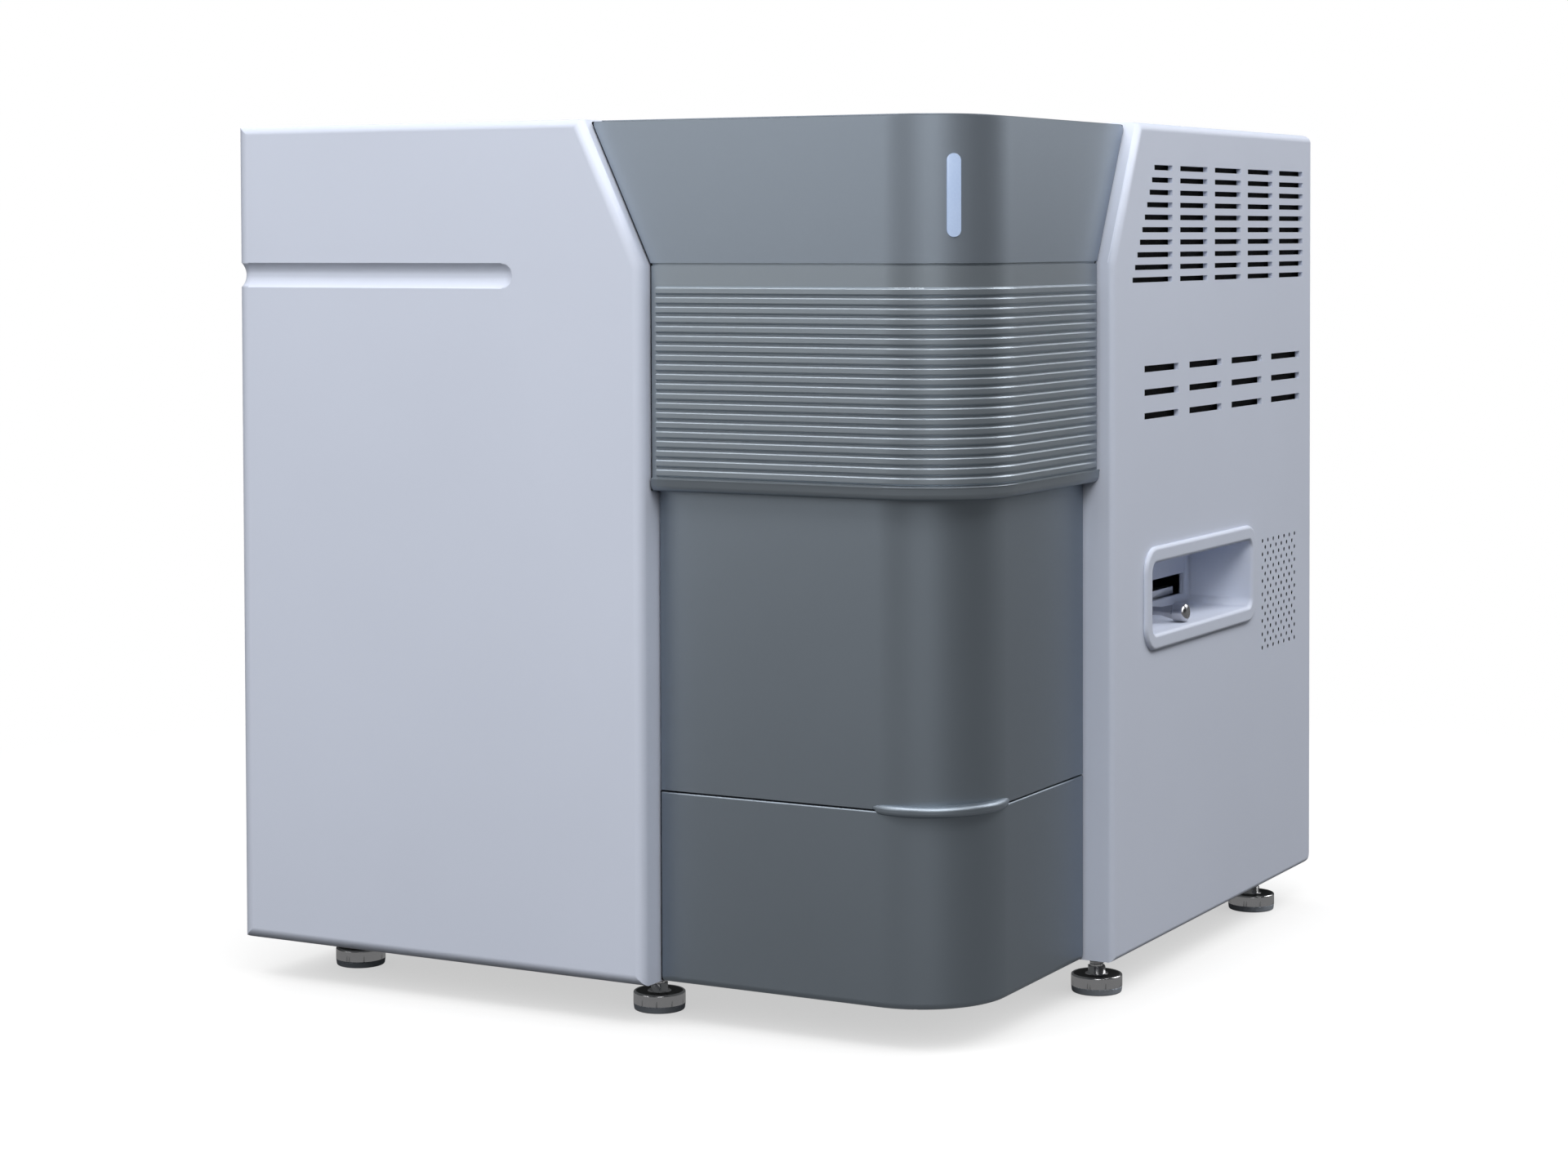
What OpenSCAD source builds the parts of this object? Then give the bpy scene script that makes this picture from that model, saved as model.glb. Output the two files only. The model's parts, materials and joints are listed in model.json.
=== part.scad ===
// Bench-top flow cytometer with white side covers, a rounded grey corner column and a lifting sample door.
// Millimetres. +X right, +Y back, +Z up. Origin: on the bench, under the middle of the overall box.
// Inside in_body() the numbers are: x from the left face, y from the front face, z from the covers' lower edge.

/* [Body] */
// Width across the two white covers
body_w = 505; // [490:5:560]
// Depth from the front face to the rear panel
body_d = 534; // [530:2:600]
// Height of the covers, without the feet
body_h = 500; // [495:5:560]
// Thickness of the covers' walls
wall = 3; // [2.5:0.5:3.5]
// Dark joint line between neighbouring covers
shadow_gap = 1.5; // [1:0.25:2]
// Width of the covers' upper rims, which frame the lid
rim_w = 24; // [23:1:26]
// Width of the covers' lower flanges
flange_w = 10; // [10:1:12]
// Air between the lid and the rims
lid_gap = 1; // [0.5:0.25:1.5]

/* [White covers] */
// Width of the left cover's front face
left_face_w = 290; // [285:1:300]
// Distance from the front face back to the right cover's front wall
side_front = 184; // [180:1:190]
// Height of the slanted upper ends
slant_h = 84; // [60:2:110]
// How far the left cover's upper end slants
left_slant = 40; // [30:2:50]
// How far the right cover's upper end slants
right_slant = 43; // [30:1:50]
// Radius of the left cover's outer vertical edge
left_edge_r = 10; // [9:1:14]
// Radius of the left cover's inner front edge
inner_edge_r = 6; // [4:1:8]
// Radius of the right cover's front edge
right_edge_r = 3.5; // [2.5:0.5:5]
// Radius of the covers' upper edges
top_edge_r = 5; // [3:1:7]
// Radius of the covers' lower edges
bottom_edge_r = 7; // [5:1:9]

/* [Finger groove] */
// Length of the groove on the front face
groove_len = 203; // [120:1:230]
// Height of the groove
groove_h = 15; // [10:1:20]
// Depth of the groove at its middle
groove_depth = 3; // [2:0.5:4]

/* [Corner column] */
// Outer radius of the column's corner
corner_r = 55; // [50:1:60]
// Recess of the fascia and the ribbed cover behind the white faces
recess = 10; // [9:0.5:11]
// Further recess of the door behind the ribbed cover
door_step = 9; // [8.5:0.5:10]
// Height of the fascia
fascia_len = 83; // [78:1:90]
// Height of the ribbed cover's lower edge
rib_cover_z = 286; // [280:1:290]
// Height of the joint between the door and the lower cover
seam_z = 111; // [105:1:116]
// Width of the joint under the door
seam_gap = 1; // [0.75:0.25:1.5]
// How far the closed door reaches up behind the ribbed cover
door_lap = 12; // [8:1:16]

/* [Ribs] */
// Distance from rib to rib
rib_pitch = 5.5; // [5.4:0.05:5.6]
// Radius of a rib
rib_r = 2.6; // [2.2:0.1:2.6]
// How far the ribs stand out of the cover
rib_proud = 1.8; // [1:0.1:2]
// Radius of the rolled lower lip
lip_r = 4; // [3:0.5:4]
// Plain margin at both ends of the ribs
rib_margin = 5; // [3:1:10]

/* [Door handle] */
// How far the lip handle stands out at the corner
handle_reach = 7; // [5:0.5:8]
// Height of the lip handle
handle_h = 6; // [4:0.5:8]
// Angle from the corner's middle to each end of the handle
handle_half_angle = 48; // [40:1:55]

/* [Status light] */
// Width of the light bar
light_w = 8; // [5:0.5:12]
// Length of the light bar
light_len = 46; // [30:1:60]
// Direction of the light bar on the corner, from the right side towards the front
light_angle = 48; // [40:1:50]

/* [Upper vents] */
// Rows of upper vents
vent_rows = 10; // [6:1:10]
// Columns of upper vents
vent_cols = 5; // [3:1:5]
// Distance from the covers' top to the uppermost row
vent_drop = 26.7; // [25:0.1:30]
// Distance from row to row
vent_pitch_z = 7.57; // [7:0.01:8]
// Web between two columns
vent_web = 13; // [10:1:20]
// Distance from the slanted edge to the front column
vent_front = 35; // [30:1:40]
// Length of the front column's slots where the slant begins
vent_front_len = 59; // [54:1:60]
// Height of a slot
vent_h = 3.2; // [2:0.2:4]
// Distance from the rear face to the last slots' rear ends
vent_rear = 16; // [14:1:20]

/* [Middle vents] */
// Rows of middle vents
mid_rows = 3; // [2:1:4]
// Columns of middle vents
mid_cols = 4; // [2:1:4]
// Distance from the covers' top to the lowest row
mid_drop = 177.5; // [168:0.5:180]
// Distance from row to row
mid_pitch_z = 14.3; // [12:0.1:16]
// Web between two columns
mid_web = 18.5; // [12:0.5:26]
// Distance from the right cover's front edge to the first slots
mid_front = 48.5; // [44:0.5:60]
// Height of a slot
mid_h = 4.2; // [3:0.2:6]
// Distance from the rear face to the last slots' rear ends
mid_rear = 22; // [18:1:26]

/* [Perforated patch] */
// Rows of holes
perf_rows = 17; // [9:2:17]
// Holes in a long row
perf_cols = 7; // [4:1:7]
// Distance from hole to hole in a row
perf_pitch_y = 10.5; // [10:0.1:10.5]
// Distance from row to row
perf_pitch_z = 4.43; // [4.2:0.01:4.6]
// Diameter of a hole
perf_d = 2.8; // [2:0.1:3.2]
// Height of the lowest row
perf_z = 158.7; // [150:0.1:165]
// Distance from the rear face to the last holes
perf_rear = 31; // [28:1:34]

/* [Side pocket] */
// Front end of the pocket's mouth
pocket_y = 241; // [239:1:246]
// Distance from the rear face to the mouth's rear end
pocket_rear = 120; // [116:1:130]
// Lower edge of the mouth
pocket_z = 189.2; // [182:0.1:191]
// Height of the mouth
pocket_h = 43.3; // [38:0.1:45]
// Depth of the pocket
pocket_depth = 40.5; // [39:0.5:42]
// Corner radius of the mouth
pocket_r = 6; // [4:1:10]
// Width of the raised rim
pocket_rim = 10; // [7:1:11]
// How far the rim stands out
pocket_rim_proud = 2.5; // [1.5:0.5:4]
// Wall of the moulded pocket
pocket_wall = 2.5; // [2:0.25:3]
// Distance from the window in the pocket's back to the mouth's rear end
window_rear = 14; // [10:1:20]
// Height of the window's lower edge above the pocket's floor
window_z = 7.6; // [5:0.2:12]
// Window length
window_len = 58; // [40:1:60]
// Window height
window_h = 13.8; // [10:0.2:18]

/* [Pull pin] */
// Distance from the pin to the window
pin_gap = 31.5; // [26:0.5:40]
// Pin height above the pocket's floor
pin_z = 6.3; // [6.3:0.1:9]
// Diameter of the stem
pin_d = 5.4; // [4:0.1:5.6]
// Diameter of the knob
knob_d = 12; // [9:0.5:12]
// Thickness of the knob
knob_w = 9.5; // [7:0.5:11]
// Length of the flare between the stem and the knob
flare_len = 8.5; // [5:0.5:12]
// Distance from the pocket's back to the knob's outer face
knob_out = 38.5; // [34:0.5:39]
// Pull of the pin
pin_travel = 8; // [4:1:10]

/* [Levelling feet] */
// Height of the feet
foot_h = 25; // [22:1:40]
// Diameter of the foot discs
foot_d = 31; // [24:1:36]
// Height of the rubber pads
pad_h = 4; // [2:0.5:6]
// Height of the metal discs
disc_h = 7; // [5:0.5:9]
// Diameter of the threaded studs
stud_d = 8; // [6:1:10]
// Across flats of the stud's hexagon
hex_af = 10; // [8:0.5:14]
// Height of the stud's hexagon
hex_h = 4.5; // [3:0.5:6]
// How far a foot screws out
foot_travel = 8; // [4:1:10]

/* [Frame and deck] */
// Width of the square frame tubes
tube_w = 20; // [18:1:22]
// Wall of the frame tubes
tube_wall = 2; // [1.5:0.25:2.5]
// Distance from the outer faces to the tubes on the left and front
frame_inset = 14; // [12:1:16]
// Thickness of the floor pan
pan_t = 4; // [3:0.5:5]
// Height of the middle rails' top, where the deck lies
deck_z = 255; // [250:1:258]
// Thickness of the optical deck
deck_t = 10; // [8:1:14]

/* [Sample bay] */
// Rear face of the bay's liner
bay_rear = 225; // [222:1:228]
// Upper face of the bay's liner
bay_top = 292; // [290:1:296]
// Diameter of the door's guide rods
rod_d = 8; // [6:1:8]
// Depth of a tube rack (a standard plate footprint)
rack_d = 85.5; // [80:0.5:88]
// Height of a tube rack
rack_h = 60; // [50:1:62]
// Distance between tubes
tube_pitch = 16.6; // [15.6:0.1:16.8]
// Diameter of a tube hole
tube_hole = 12.8; // [12:0.1:13.4]
// Travel of the plate carrier towards the door
plate_travel = 70; // [40:5:70]
// Travel of the sample probe downwards
probe_travel = 55; // [40:1:55]

/* [Cooling] */
// Size of a fan frame
fan_w = 120; // [92:4:120]
// Depth of a fan
fan_depth = 25; // [20:1:32]
// Number of fan blades
fan_blades = 7; // [5:1:9]

/* [Hidden] */
$fn = 64;
eps = 0.01;
big = 1000;
slide_fit = 0.1;   // clearance of sliding guides
bore_fit = 0.05;   // radial clearance of pins in bores
slant_softer = 0.4;   // the slanted edges are this much softer than the upright ones below them

WHITE = [0.86, 0.88, 0.92];
GREY = [0.50, 0.53, 0.57];
DARK_GREY = [0.40, 0.43, 0.46];
METAL = [0.74, 0.75, 0.77];
BLACK = [0.10, 0.10, 0.11];

fascia_z = body_h - fascia_len;
door_inset = recess + door_step;
door_z = seam_z + seam_gap;
door_top = rib_cover_z + door_lap;
right_x = body_w - recess;
lid_t = wall;
rear_t = 2;

// Frame tubes: middles of the uprights
post_left = frame_inset + tube_w / 2;
post_mid = left_face_w - left_slant - wall - 5 - tube_w / 2;
post_right = body_w - 23;
post_rear = body_d - 2 - tube_w / 2;
side_post_y = side_front + 29;   // under the deck
side_top_y = side_front + right_slant + 4 + tube_w / 2;   // above it, behind the slant
pan_z = wall;
pan_top = pan_z + pan_t;
rail_z = deck_z - 16;
lid_z = body_h - lid_t;
deck_top = deck_z + deck_t;

// Feet: places under the covers
feet = [[43, 66], [left_face_w - 20, 52], [post_right, side_post_y], [post_right, body_d - 52], [43, body_d - 52]];
stud_top = pan_top + 15;

// Sample bay
bay_x = left_face_w + 19;   // room for the door's left guide beside the liner
bay_floor = seam_z + wall;
bay_ceiling = bay_top - wall;
bay_side = 42;   // room for the door's right guide beside the liner
bay_right = body_w - bay_side;
rod_left = [left_face_w + 10, door_inset + wall + 10];
rod_right = [body_w - 31, side_front - 8];
rod_top = lid_z - 27;
shoe_h = 30;
bay_mid = (bay_x + wall + bay_right - wall) / 2;
rail_h = 8;
rail_base_t = 4;
carrier_z = bay_floor + rail_base_t + rail_h;
carrier_t = 6;
carrier_rim = 4;
carrier_air = 6.1;   // between the carrier and the liner
rack_w = bay_right - bay_x - 2 * (wall + carrier_rim + carrier_air);
tube_cols = floor((rack_w - 11) / tube_pitch);
tube_rows = floor((rack_d - 2) / tube_pitch);
rack_z = carrier_z + carrier_t;
rack_y = bay_rear - wall - 57;
needle_gap = 14;
probe_y = bay_rear - wall - 10;
probe_rail_z = bay_ceiling - 27;
guide_bottom = rack_z + rack_h + 8;

// Ribs and vents
rib_first = rib_cover_z + 2 * lip_r + rib_pitch / 2;
rib_count = floor((fascia_z - shadow_gap - 11 - rib_first) / rib_pitch + 0.5);
vent_z = body_h - vent_drop - (vent_rows - 1) * vent_pitch_z;
vent_pitch_y = (body_d - vent_rear - side_front - vent_front - vent_front_len) / (vent_cols - 1);
mid_z = body_h - mid_drop;
mid_pitch_y = (body_d - mid_rear - side_front - mid_front + mid_web) / mid_cols;
mid_len = mid_pitch_y - mid_web;

// Pocket
pocket_len = body_d - pocket_rear - pocket_y;
window_y = pocket_len - window_rear - window_len;
pin_y = window_y - pin_gap;
pocket_back = body_w - pocket_depth;
pin_pos = [pocket_y + pin_y, pocket_z + pin_z];
bush_len = 12;
collar_d = pin_d + 6;

// Light bar
light_z = (fascia_z + body_h) / 2 - 4;

// Fans
fan_front = body_d - rear_t - fan_depth;
fan_z = lid_z - tube_w - fan_w / 2 - 32;
fan_x = [post_left + tube_w / 2 + 10 + fan_w / 2, post_right - tube_w / 2 - 10 - fan_w / 2];
fan_bore_r = fan_w / 2 - 4;
hub_r = 20;

// Optics on the deck
laser_y = 305;
laser_size = [40, fan_front - 42 - laser_y, 42];
laser_x = [44, 100, 156];
beam_z = 22;
mirror_y = 260;
optics_x = left_face_w - wall - 15;
detector_y = bay_rear + 60;
detector_size = [48, fan_front - 32 - detector_y, 96];
detector_x = [bay_right - 112, bay_right - 54];

// Electronics and fluids on the floor pan
supply_at = [40, 304];
supply_size = [100, body_d - 60 - supply_at[1], 80];
board_at = [bay_x, bay_rear + 30];
board_size = [2, body_d - rear_t - 37 - board_at[1], rail_z - pan_top - 32];
pump_at = [80, 130];
pump_d = 44;
filter_at = [210, 220];
filter_r = 28;
filter_h = 118;
manifold_at = [170, 100];
valve_count = 4;
valve_pitch = 22;

// Rear connector well
well_size = [280, 70];
well = [post_right - tube_w / 2 - 42 - well_size[0], 36, well_size[0], well_size[1]];
well_depth = 24;
well_face = body_d - well_depth;
well_mid = well[1] + well[3] / 2;
inlet_x = 24;
sockets_x = 98;
ports_x = [190, 240];
rocker_r = 9;

// ---------- helpers ----------

module in_body() {
    translate([-(body_w + pocket_rim_proud) / 2, -body_d / 2, foot_h]) children();
}

function unit2(v) = v / norm(v);
function cross2(a, b) = a[0] * b[1] - a[1] * b[0];

// Area between the corner at p1 and the arc of radius r that rounds it
module corner_area(p0, p1, p2, r) {
    a = unit2(p0 - p1);
    b = unit2(p2 - p1);
    half = acos(a * b) / 2;
    t = r / tan(half);
    c = p1 + unit2(a + b) * (r / sin(half));
    difference() {
        polygon([p1, p1 + a * t, c, p1 + b * t]);
        translate(c) circle(r);
    }
}

// Polygon listed anticlockwise, each outward corner rounded by its own radius
module soft_polygon(pts, radii) {
    n = len(pts);
    difference() {
        polygon(pts);
        for (i = [0 : n - 1])
            if (radii[i] > 0)
                corner_area(pts[(i + n - 1) % n], pts[i], pts[(i + 1) % n], radii[i]);
    }
}

module soft_rect(x0, y0, x1, y1, r) {
    soft_polygon([[x0, y0], [x1, y0], [x1, y1], [x0, y1]], r);
}

// Extrudes an (x, z) outline along y, or a (y, z) outline along x
module along_y(y0, y1) {
    translate([0, y1, 0]) rotate([90, 0, 0]) linear_extrude(y1 - y0) children();
}
module along_x(x0, x1) {
    translate([x0, 0, 0]) rotate([90, 0, 90]) linear_extrude(x1 - x0) children();
}
module box(a, b) {
    translate(a) cube(b - a);
}

// Sweeps a profile (x outwards from the face, y up) along the front, round the corner and along the side
module corner_run(inset, r, x_from, y_to) {
    cx = body_w - inset - r;
    cy = inset + r;
    translate([x_from, inset, 0]) rotate([90, 0, 90]) linear_extrude(cx - x_from) mirror([1, 0]) children();
    translate([cx, cy, 0]) rotate([0, 0, -90]) rotate_extrude(angle = 90) translate([r, 0]) children();
    translate([body_w - inset, y_to, 0]) rotate([90, 0, 0]) linear_extrude(y_to - cy) children();
}

// Plan of everything behind a corner surface
module corner_plan(inset, r, x_from, y_to) {
    soft_polygon([[x_from, inset], [body_w - inset, inset], [body_w - inset, y_to], [x_from, y_to]], [0, r, 0, 0]);
}

// ---------- structure ----------

module floor_pan() {
    pan_in = bottom_edge_r + 0.5;
    color(METAL) in_body() difference() {
        union() {
            translate([0, 0, pan_z]) linear_extrude(pan_t) difference() {
                soft_rect(pan_in, pan_in, body_w - pan_in, body_d - rear_t - 1, [left_edge_r - wall, 0, 0, 0]);
                pan_front_cut();
            }
            for (f = feet)
                translate([f[0], f[1], pan_z]) cylinder(d = stud_d + 5, h = stud_top - pan_z);
        }
        for (f = feet)
            translate([f[0], f[1], 0]) cylinder(d = stud_d + 2 * bore_fit, h = stud_top + 1);
    }
}

// What the floor pan leaves free at the front right, under the corner column
module pan_front_cut() {
    in = rim_w + 1;
    difference() {
        translate([left_face_w - wall - 1, -1]) square([body_w, side_front + wall + 2]);
        corner_plan(in, corner_r + door_inset - in, 0, body_d);
    }
}

module tube_bar(a, b) {
    // a and b are the middles of the bar's ends; it runs along one axis
    d = b - a;
    along = d[0] > 0 ? 0 : d[1] > 0 ? 1 : 2;
    w = tube_w / 2;
    i = w - tube_wall;
    lo = [for (k = [0 : 2]) k == along ? a[k] : a[k] - w];
    hi = [for (k = [0 : 2]) k == along ? b[k] : b[k] + w];
    lo_in = [for (k = [0 : 2]) k == along ? a[k] - 1 : a[k] - i];
    hi_in = [for (k = [0 : 2]) k == along ? b[k] + 1 : b[k] + i];
    difference() {
        box(lo, hi);
        box(lo_in, hi_in);
    }
}

module flat_rail(lo, hi, z1, h) {
    box([lo[0], lo[1], z1 - h], [hi[0], hi[1], z1]);
}

module frame() {
    w = tube_w / 2;
    left = [post_left - w, post_left + w];
    mid = [post_mid - w, post_mid + w];
    right = [post_right - w, post_right + w];
    front = [post_left - w, post_left + w];
    rear = [post_rear - w, post_rear + w];
    side = [side_post_y - w, side_post_y + w];
    side_top = [side_top_y - w, side_top_y + w];
    color(METAL) in_body() {
        for (p = [[post_left, post_left], [post_mid, post_left], [post_right, post_rear], [post_left, post_rear]])
            tube_bar([p[0], p[1], pan_top], [p[0], p[1], lid_z]);
        tube_bar([post_right, side_post_y, pan_top], [post_right, side_post_y, deck_z]);
        tube_bar([post_right, side_top_y, deck_z], [post_right, side_top_y, lid_z]);
        // rails under the lid and under the deck: their top, height and right-hand front end
        for (z = [[lid_z, tube_w, side_top[1]], [deck_z, deck_z - rail_z, side[1]]]) {
            flat_rail([left[0], front[1]], [left[1], rear[0]], z[0], z[1]);
            flat_rail([mid[0], front[1]], [mid[1], rear[0]], z[0], z[1]);
            flat_rail([right[0], z[2]], [right[1], rear[0]], z[0], z[1]);
            flat_rail([left[1], rear[0]], [right[0], rear[1]], z[0], z[1]);
        }
        flat_rail([left[1], front[0]], [mid[0], front[1]], lid_z, tube_w);
        flat_rail([mid[1], side_top[0]], [right[0], side_top[1]], lid_z, tube_w);
    }
}

module optical_deck() {
    color(METAL) in_body() translate([0, 0, deck_z]) linear_extrude(deck_t) difference() {
        square_from([frame_inset + 2, post_left + tube_w / 2 + 2],
            [post_right - tube_w / 2, post_rear - tube_w / 2 - 2]);
        // free of the sample bay and its door
        square_from([left_face_w, 0], [body_w, bay_rear + 7]);
        for (x = [60 : 50 : post_mid - 20], y = [60 : 50 : post_rear - 40])
            translate([x, y]) circle(d = 6);
    }
}

module square_from(a, b) {
    translate(a) square(b - a);
}

// ---------- white covers ----------

// Envelope of the left cover, all surfaces moved inwards by t
module left_envelope(t) {
    lean = atan(left_slant / slant_h);
    edge = max(inner_edge_r - t, 0.5);
    intersection() {
        translate([0, 0, -1]) linear_extrude(body_h + 2)
            soft_rect(t, t, left_face_w - t, body_d + t, [max(left_edge_r - t, 0.5), edge, 0, 0]);
        along_y(-1, body_d + 1)
            soft_rect(t, t, left_face_w + body_h, body_h - t,
                [max(bottom_edge_r - t, 0.5), 0, 0, max(top_edge_r - t, 0.5)]);
        along_x(-1, left_face_w + 1)
            soft_rect(t, t, body_d + body_h, body_h - t,
                [max(bottom_edge_r - t, 0.5), 0, 0, max(top_edge_r - t, 0.5)]);
        translate([left_face_w, 0, body_h - slant_h]) rotate([0, -lean, 0]) translate([0, 0, -body_h])
            linear_extrude(2 * body_h)
                soft_rect(-body_w, t, -t, body_d + body_h, [0, edge + slant_softer, 0, 0]);
    }
}

// Cove for the fingers that runs round the left front edge and ends in a ball, made larger by t
module groove(t) {
    chord = groove_h / 2;
    r = (chord * chord + groove_depth * groove_depth) / (2 * groove_depth);
    out = r - groove_depth;
    end_x = groove_len - chord;
    e = left_edge_r;
    translate([0, 0, fascia_z - chord]) {
        translate([e, -out, 0]) rotate([0, 90, 0]) rotate_extrude() {
            square([r + t, end_x - e]);
            translate([0, end_x - e]) intersection() {
                circle(r + t);
                square(r + t);
            }
        }
        translate([e, e, 0]) rotate([0, 0, 180]) rotate_extrude(angle = 90)
            translate([e + out, 0]) circle(r + t);
        translate([-out, e, 0]) rotate([-90, 0, 0]) cylinder(r = r + t, h = body_d + 1 - e);
    }
}

module left_cover() {
    color(WHITE) in_body() difference() {
        left_envelope(0);
        difference() {
            left_envelope(wall);
            groove(wall);
        }
        groove(0);
        box([rim_w, rim_w, -1], [body_w, body_d + 1, body_h + 1]);
        box([flange_w, flange_w, -1], [left_face_w - flange_w, body_d + 1, wall + eps]);
    }
}

// Envelope of the right cover, all surfaces moved inwards by t
module right_envelope(t) {
    lean = atan(right_slant / slant_h);
    edge = max(right_edge_r - t, 0.5);
    intersection() {
        translate([0, 0, -1]) linear_extrude(body_h + 2)
            soft_rect(body_w - 100, side_front + t, body_w - t, body_d + t, [0, edge, 0, 0]);
        along_x(0, body_w + 1)
            soft_rect(side_front - body_h, t, body_d, body_h - t,
                [0, max(bottom_edge_r - t, 0.5), max(top_edge_r - t, 0.5), 0]);
        along_y(0, body_d + 1)
            soft_rect(-body_h, t, body_w - t, body_h - t,
                [0, max(right_edge_r - t, 0.5), max(top_edge_r - t, 0.5), 0]);
        translate([0, side_front, body_h - slant_h]) rotate([-lean, 0, 0]) translate([0, 0, -body_h])
            linear_extrude(2 * body_h)
                soft_rect(0, t, body_w - t, body_d + body_h, [0, edge + slant_softer, 0, 0]);
    }
}

module vent_slots() {
    lean = right_slant / slant_h;
    along_x(body_w - 2 * wall, body_w + 1) {
        for (row = [0 : vent_rows - 1], col = [0 : vent_cols - 1]) {
            z = vent_z + row * vent_pitch_z;
            y1 = body_d - vent_rear - col * vent_pitch_y;
            // the front column starts along the slant
            y0 = col < vent_cols - 1 ? y1 - vent_pitch_y + vent_web
                : side_front + vent_front + lean * (z - body_h + slant_h);
            square_from([y0, z - vent_h / 2], [y1, z + vent_h / 2]);
        }
        for (row = [0 : mid_rows - 1], col = [0 : mid_cols - 1])
            translate([body_d - mid_rear - mid_len - col * mid_pitch_y, mid_z - mid_h / 2 + row * mid_pitch_z])
                square([mid_len, mid_h]);
    }
}

module perforations() {
    for (row = [0 : perf_rows - 1])
        for (i = [0 : perf_cols - 1 - row % 2])
            translate([body_w - 2 * wall, body_d - perf_rear - (i + (row % 2) / 2) * perf_pitch_y,
                    perf_z + row * perf_pitch_z])
                rotate([0, 90, 0]) cylinder(d = perf_d, h = 3 * wall, $fn = 16);
}

module right_cover() {
    color(WHITE) in_body() difference() {
        right_envelope(0);
        right_envelope(wall);
        box([0, -1, -1], [body_w - rim_w, body_d + 1, body_h + 1]);
        box([0, side_front + flange_w, -1], [body_w - flange_w, body_d + 1, wall + eps]);
        vent_slots();
        perforations();
        along_x(body_w - 2 * wall, body_w + 1) pocket_outline(pocket_wall);
    }
}

module top_lid() {
    edge = rim_w + lid_gap;
    color(GREY) in_body() translate([0, 0, lid_z]) linear_extrude(lid_t)
        soft_rect(edge, edge, body_w - edge, body_d - rear_t - lid_gap,
            [4, corner_r + recess - edge, 0, 0]);
}

module rear_panel() {
    color(WHITE) in_body() difference() {
        union() {
            along_y(body_d - rear_t, body_d) rear_outline();
            box([well[0] - rear_t, well_face - rear_t, well[1] - rear_t],
                [well[0] + well[2] + rear_t, body_d - rear_t, well[1] + well[3] + rear_t]);
        }
        box([well[0], well_face, well[1]], [well[0] + well[2], body_d + 1, well[1] + well[3]]);
        for (x = fan_x)
            translate([x, body_d + 1, fan_z]) rotate([90, 0, 0]) linear_extrude(rear_t + 2) fan_grille();
        along_y(well_face - rear_t - 1, well_face + 1) well_cutouts();
        groove(wall + lid_gap / 2);
    }
}

// Fills the back inside the covers' walls, rims and flanges
module rear_outline() {
    g = lid_gap / 2;
    in = wall + g;
    right = body_w - rim_w - g;
    soft_rect(in, in, right, body_h - in, [bottom_edge_r - wall, 0, 0, top_edge_r - wall]);
    square_from([right - 1, bottom_edge_r + g], [body_w - in, body_h - top_edge_r - g]);
    square_from([rim_w + g, body_h / 2], [right, body_h]);
    square_from([flange_w + g, 1], [right, body_h / 2]);
}

// Rings of the punched finger guard, parted by four spokes
module fan_grille() {
    difference() {
        for (r = [16 : 10 : fan_bore_r - 8])
            difference() {
                circle(r + 7);
                circle(r);
            }
        for (a = [45, 135])
            rotate(a) square([fan_w, 5], center = true);
    }
}

module well_cutouts() {
    square_from([well[0] + inlet_x - 2, well_mid - 15], [well[0] + inlet_x + 52, well_mid + 15]);
    square_from([well[0] + sockets_x, well_mid - 9], [well[0] + sockets_x + 50, well_mid + 9]);
    for (x = ports_x)
        translate([well[0] + x, well_mid]) circle(d = 12);
}

// ---------- corner column ----------

// A fixed corner cover: its outer half stops short of the white covers, its inner half meets them
module lapped_run(inset) {
    corner_run(inset, corner_r, left_face_w + shadow_gap, side_front - shadow_gap) children();
    corner_run(inset, corner_r, left_face_w, side_front) intersection() {
        children();
        translate([-big - wall / 2, 0]) square([big, big]);
    }
}

module top_fascia() {
    color(GREY) in_body() difference() {
        corner_run(recess, corner_r, left_face_w - left_slant - 5, side_front + right_slant + 5)
            soft_polygon([[-wall, fascia_z], [0, fascia_z], [0, body_h - 1], [recess - rim_w, body_h - 1],
                [recess - rim_w, body_h - 1 - wall], [-wall, body_h - 1 - wall]], [0, 0, top_edge_r - 1, 0, 0, 0]);
        slant_cuts();
        light_slot(0.1);
    }
}

// Room for the slanted ends of the white covers
module slant_cuts() {
    g = shadow_gap;
    along_y(-1, rim_w + 5) polygon([[-1, 0], [left_face_w, 0], [left_face_w, body_h - slant_h],
        [left_face_w - left_slant, body_h], [left_face_w - left_slant, body_h + 5], [-1, body_h + 5]]);
    along_y(-1, recess + wall / 2) polygon([[-1, 0], [left_face_w + g, 0], [left_face_w + g, body_h - slant_h],
        [left_face_w - left_slant + g, body_h], [left_face_w - left_slant + g, body_h + 5], [-1, body_h + 5]]);
    along_x(body_w - rim_w - 5, body_w + 1) polygon([[body_d, 0], [side_front, 0], [side_front, body_h - slant_h],
        [side_front + right_slant, body_h], [side_front + right_slant, body_h + 5], [body_d, body_h + 5]]);
    along_x(right_x - wall / 2, body_w + 1) polygon([[body_d, 0], [side_front - g, 0],
        [side_front - g, body_h - slant_h], [side_front + right_slant - g, body_h],
        [side_front + right_slant - g, body_h + 5], [body_d, body_h + 5]]);
}

// Round-ended bar that points out of the corner at the light's direction
module light_slot(t) {
    translate([body_w - recess - corner_r, recess + corner_r, light_z]) rotate([0, 0, -light_angle])
        rotate([90, 0, 90]) translate([0, 0, corner_r - 2 * wall]) linear_extrude(4 * wall) {
            for (s = [-1, 1])
                translate([0, s * (light_len - light_w) / 2]) circle(d = light_w + 2 * t);
            square([light_w + 2 * t, light_len - light_w], center = true);
        }
}

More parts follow.
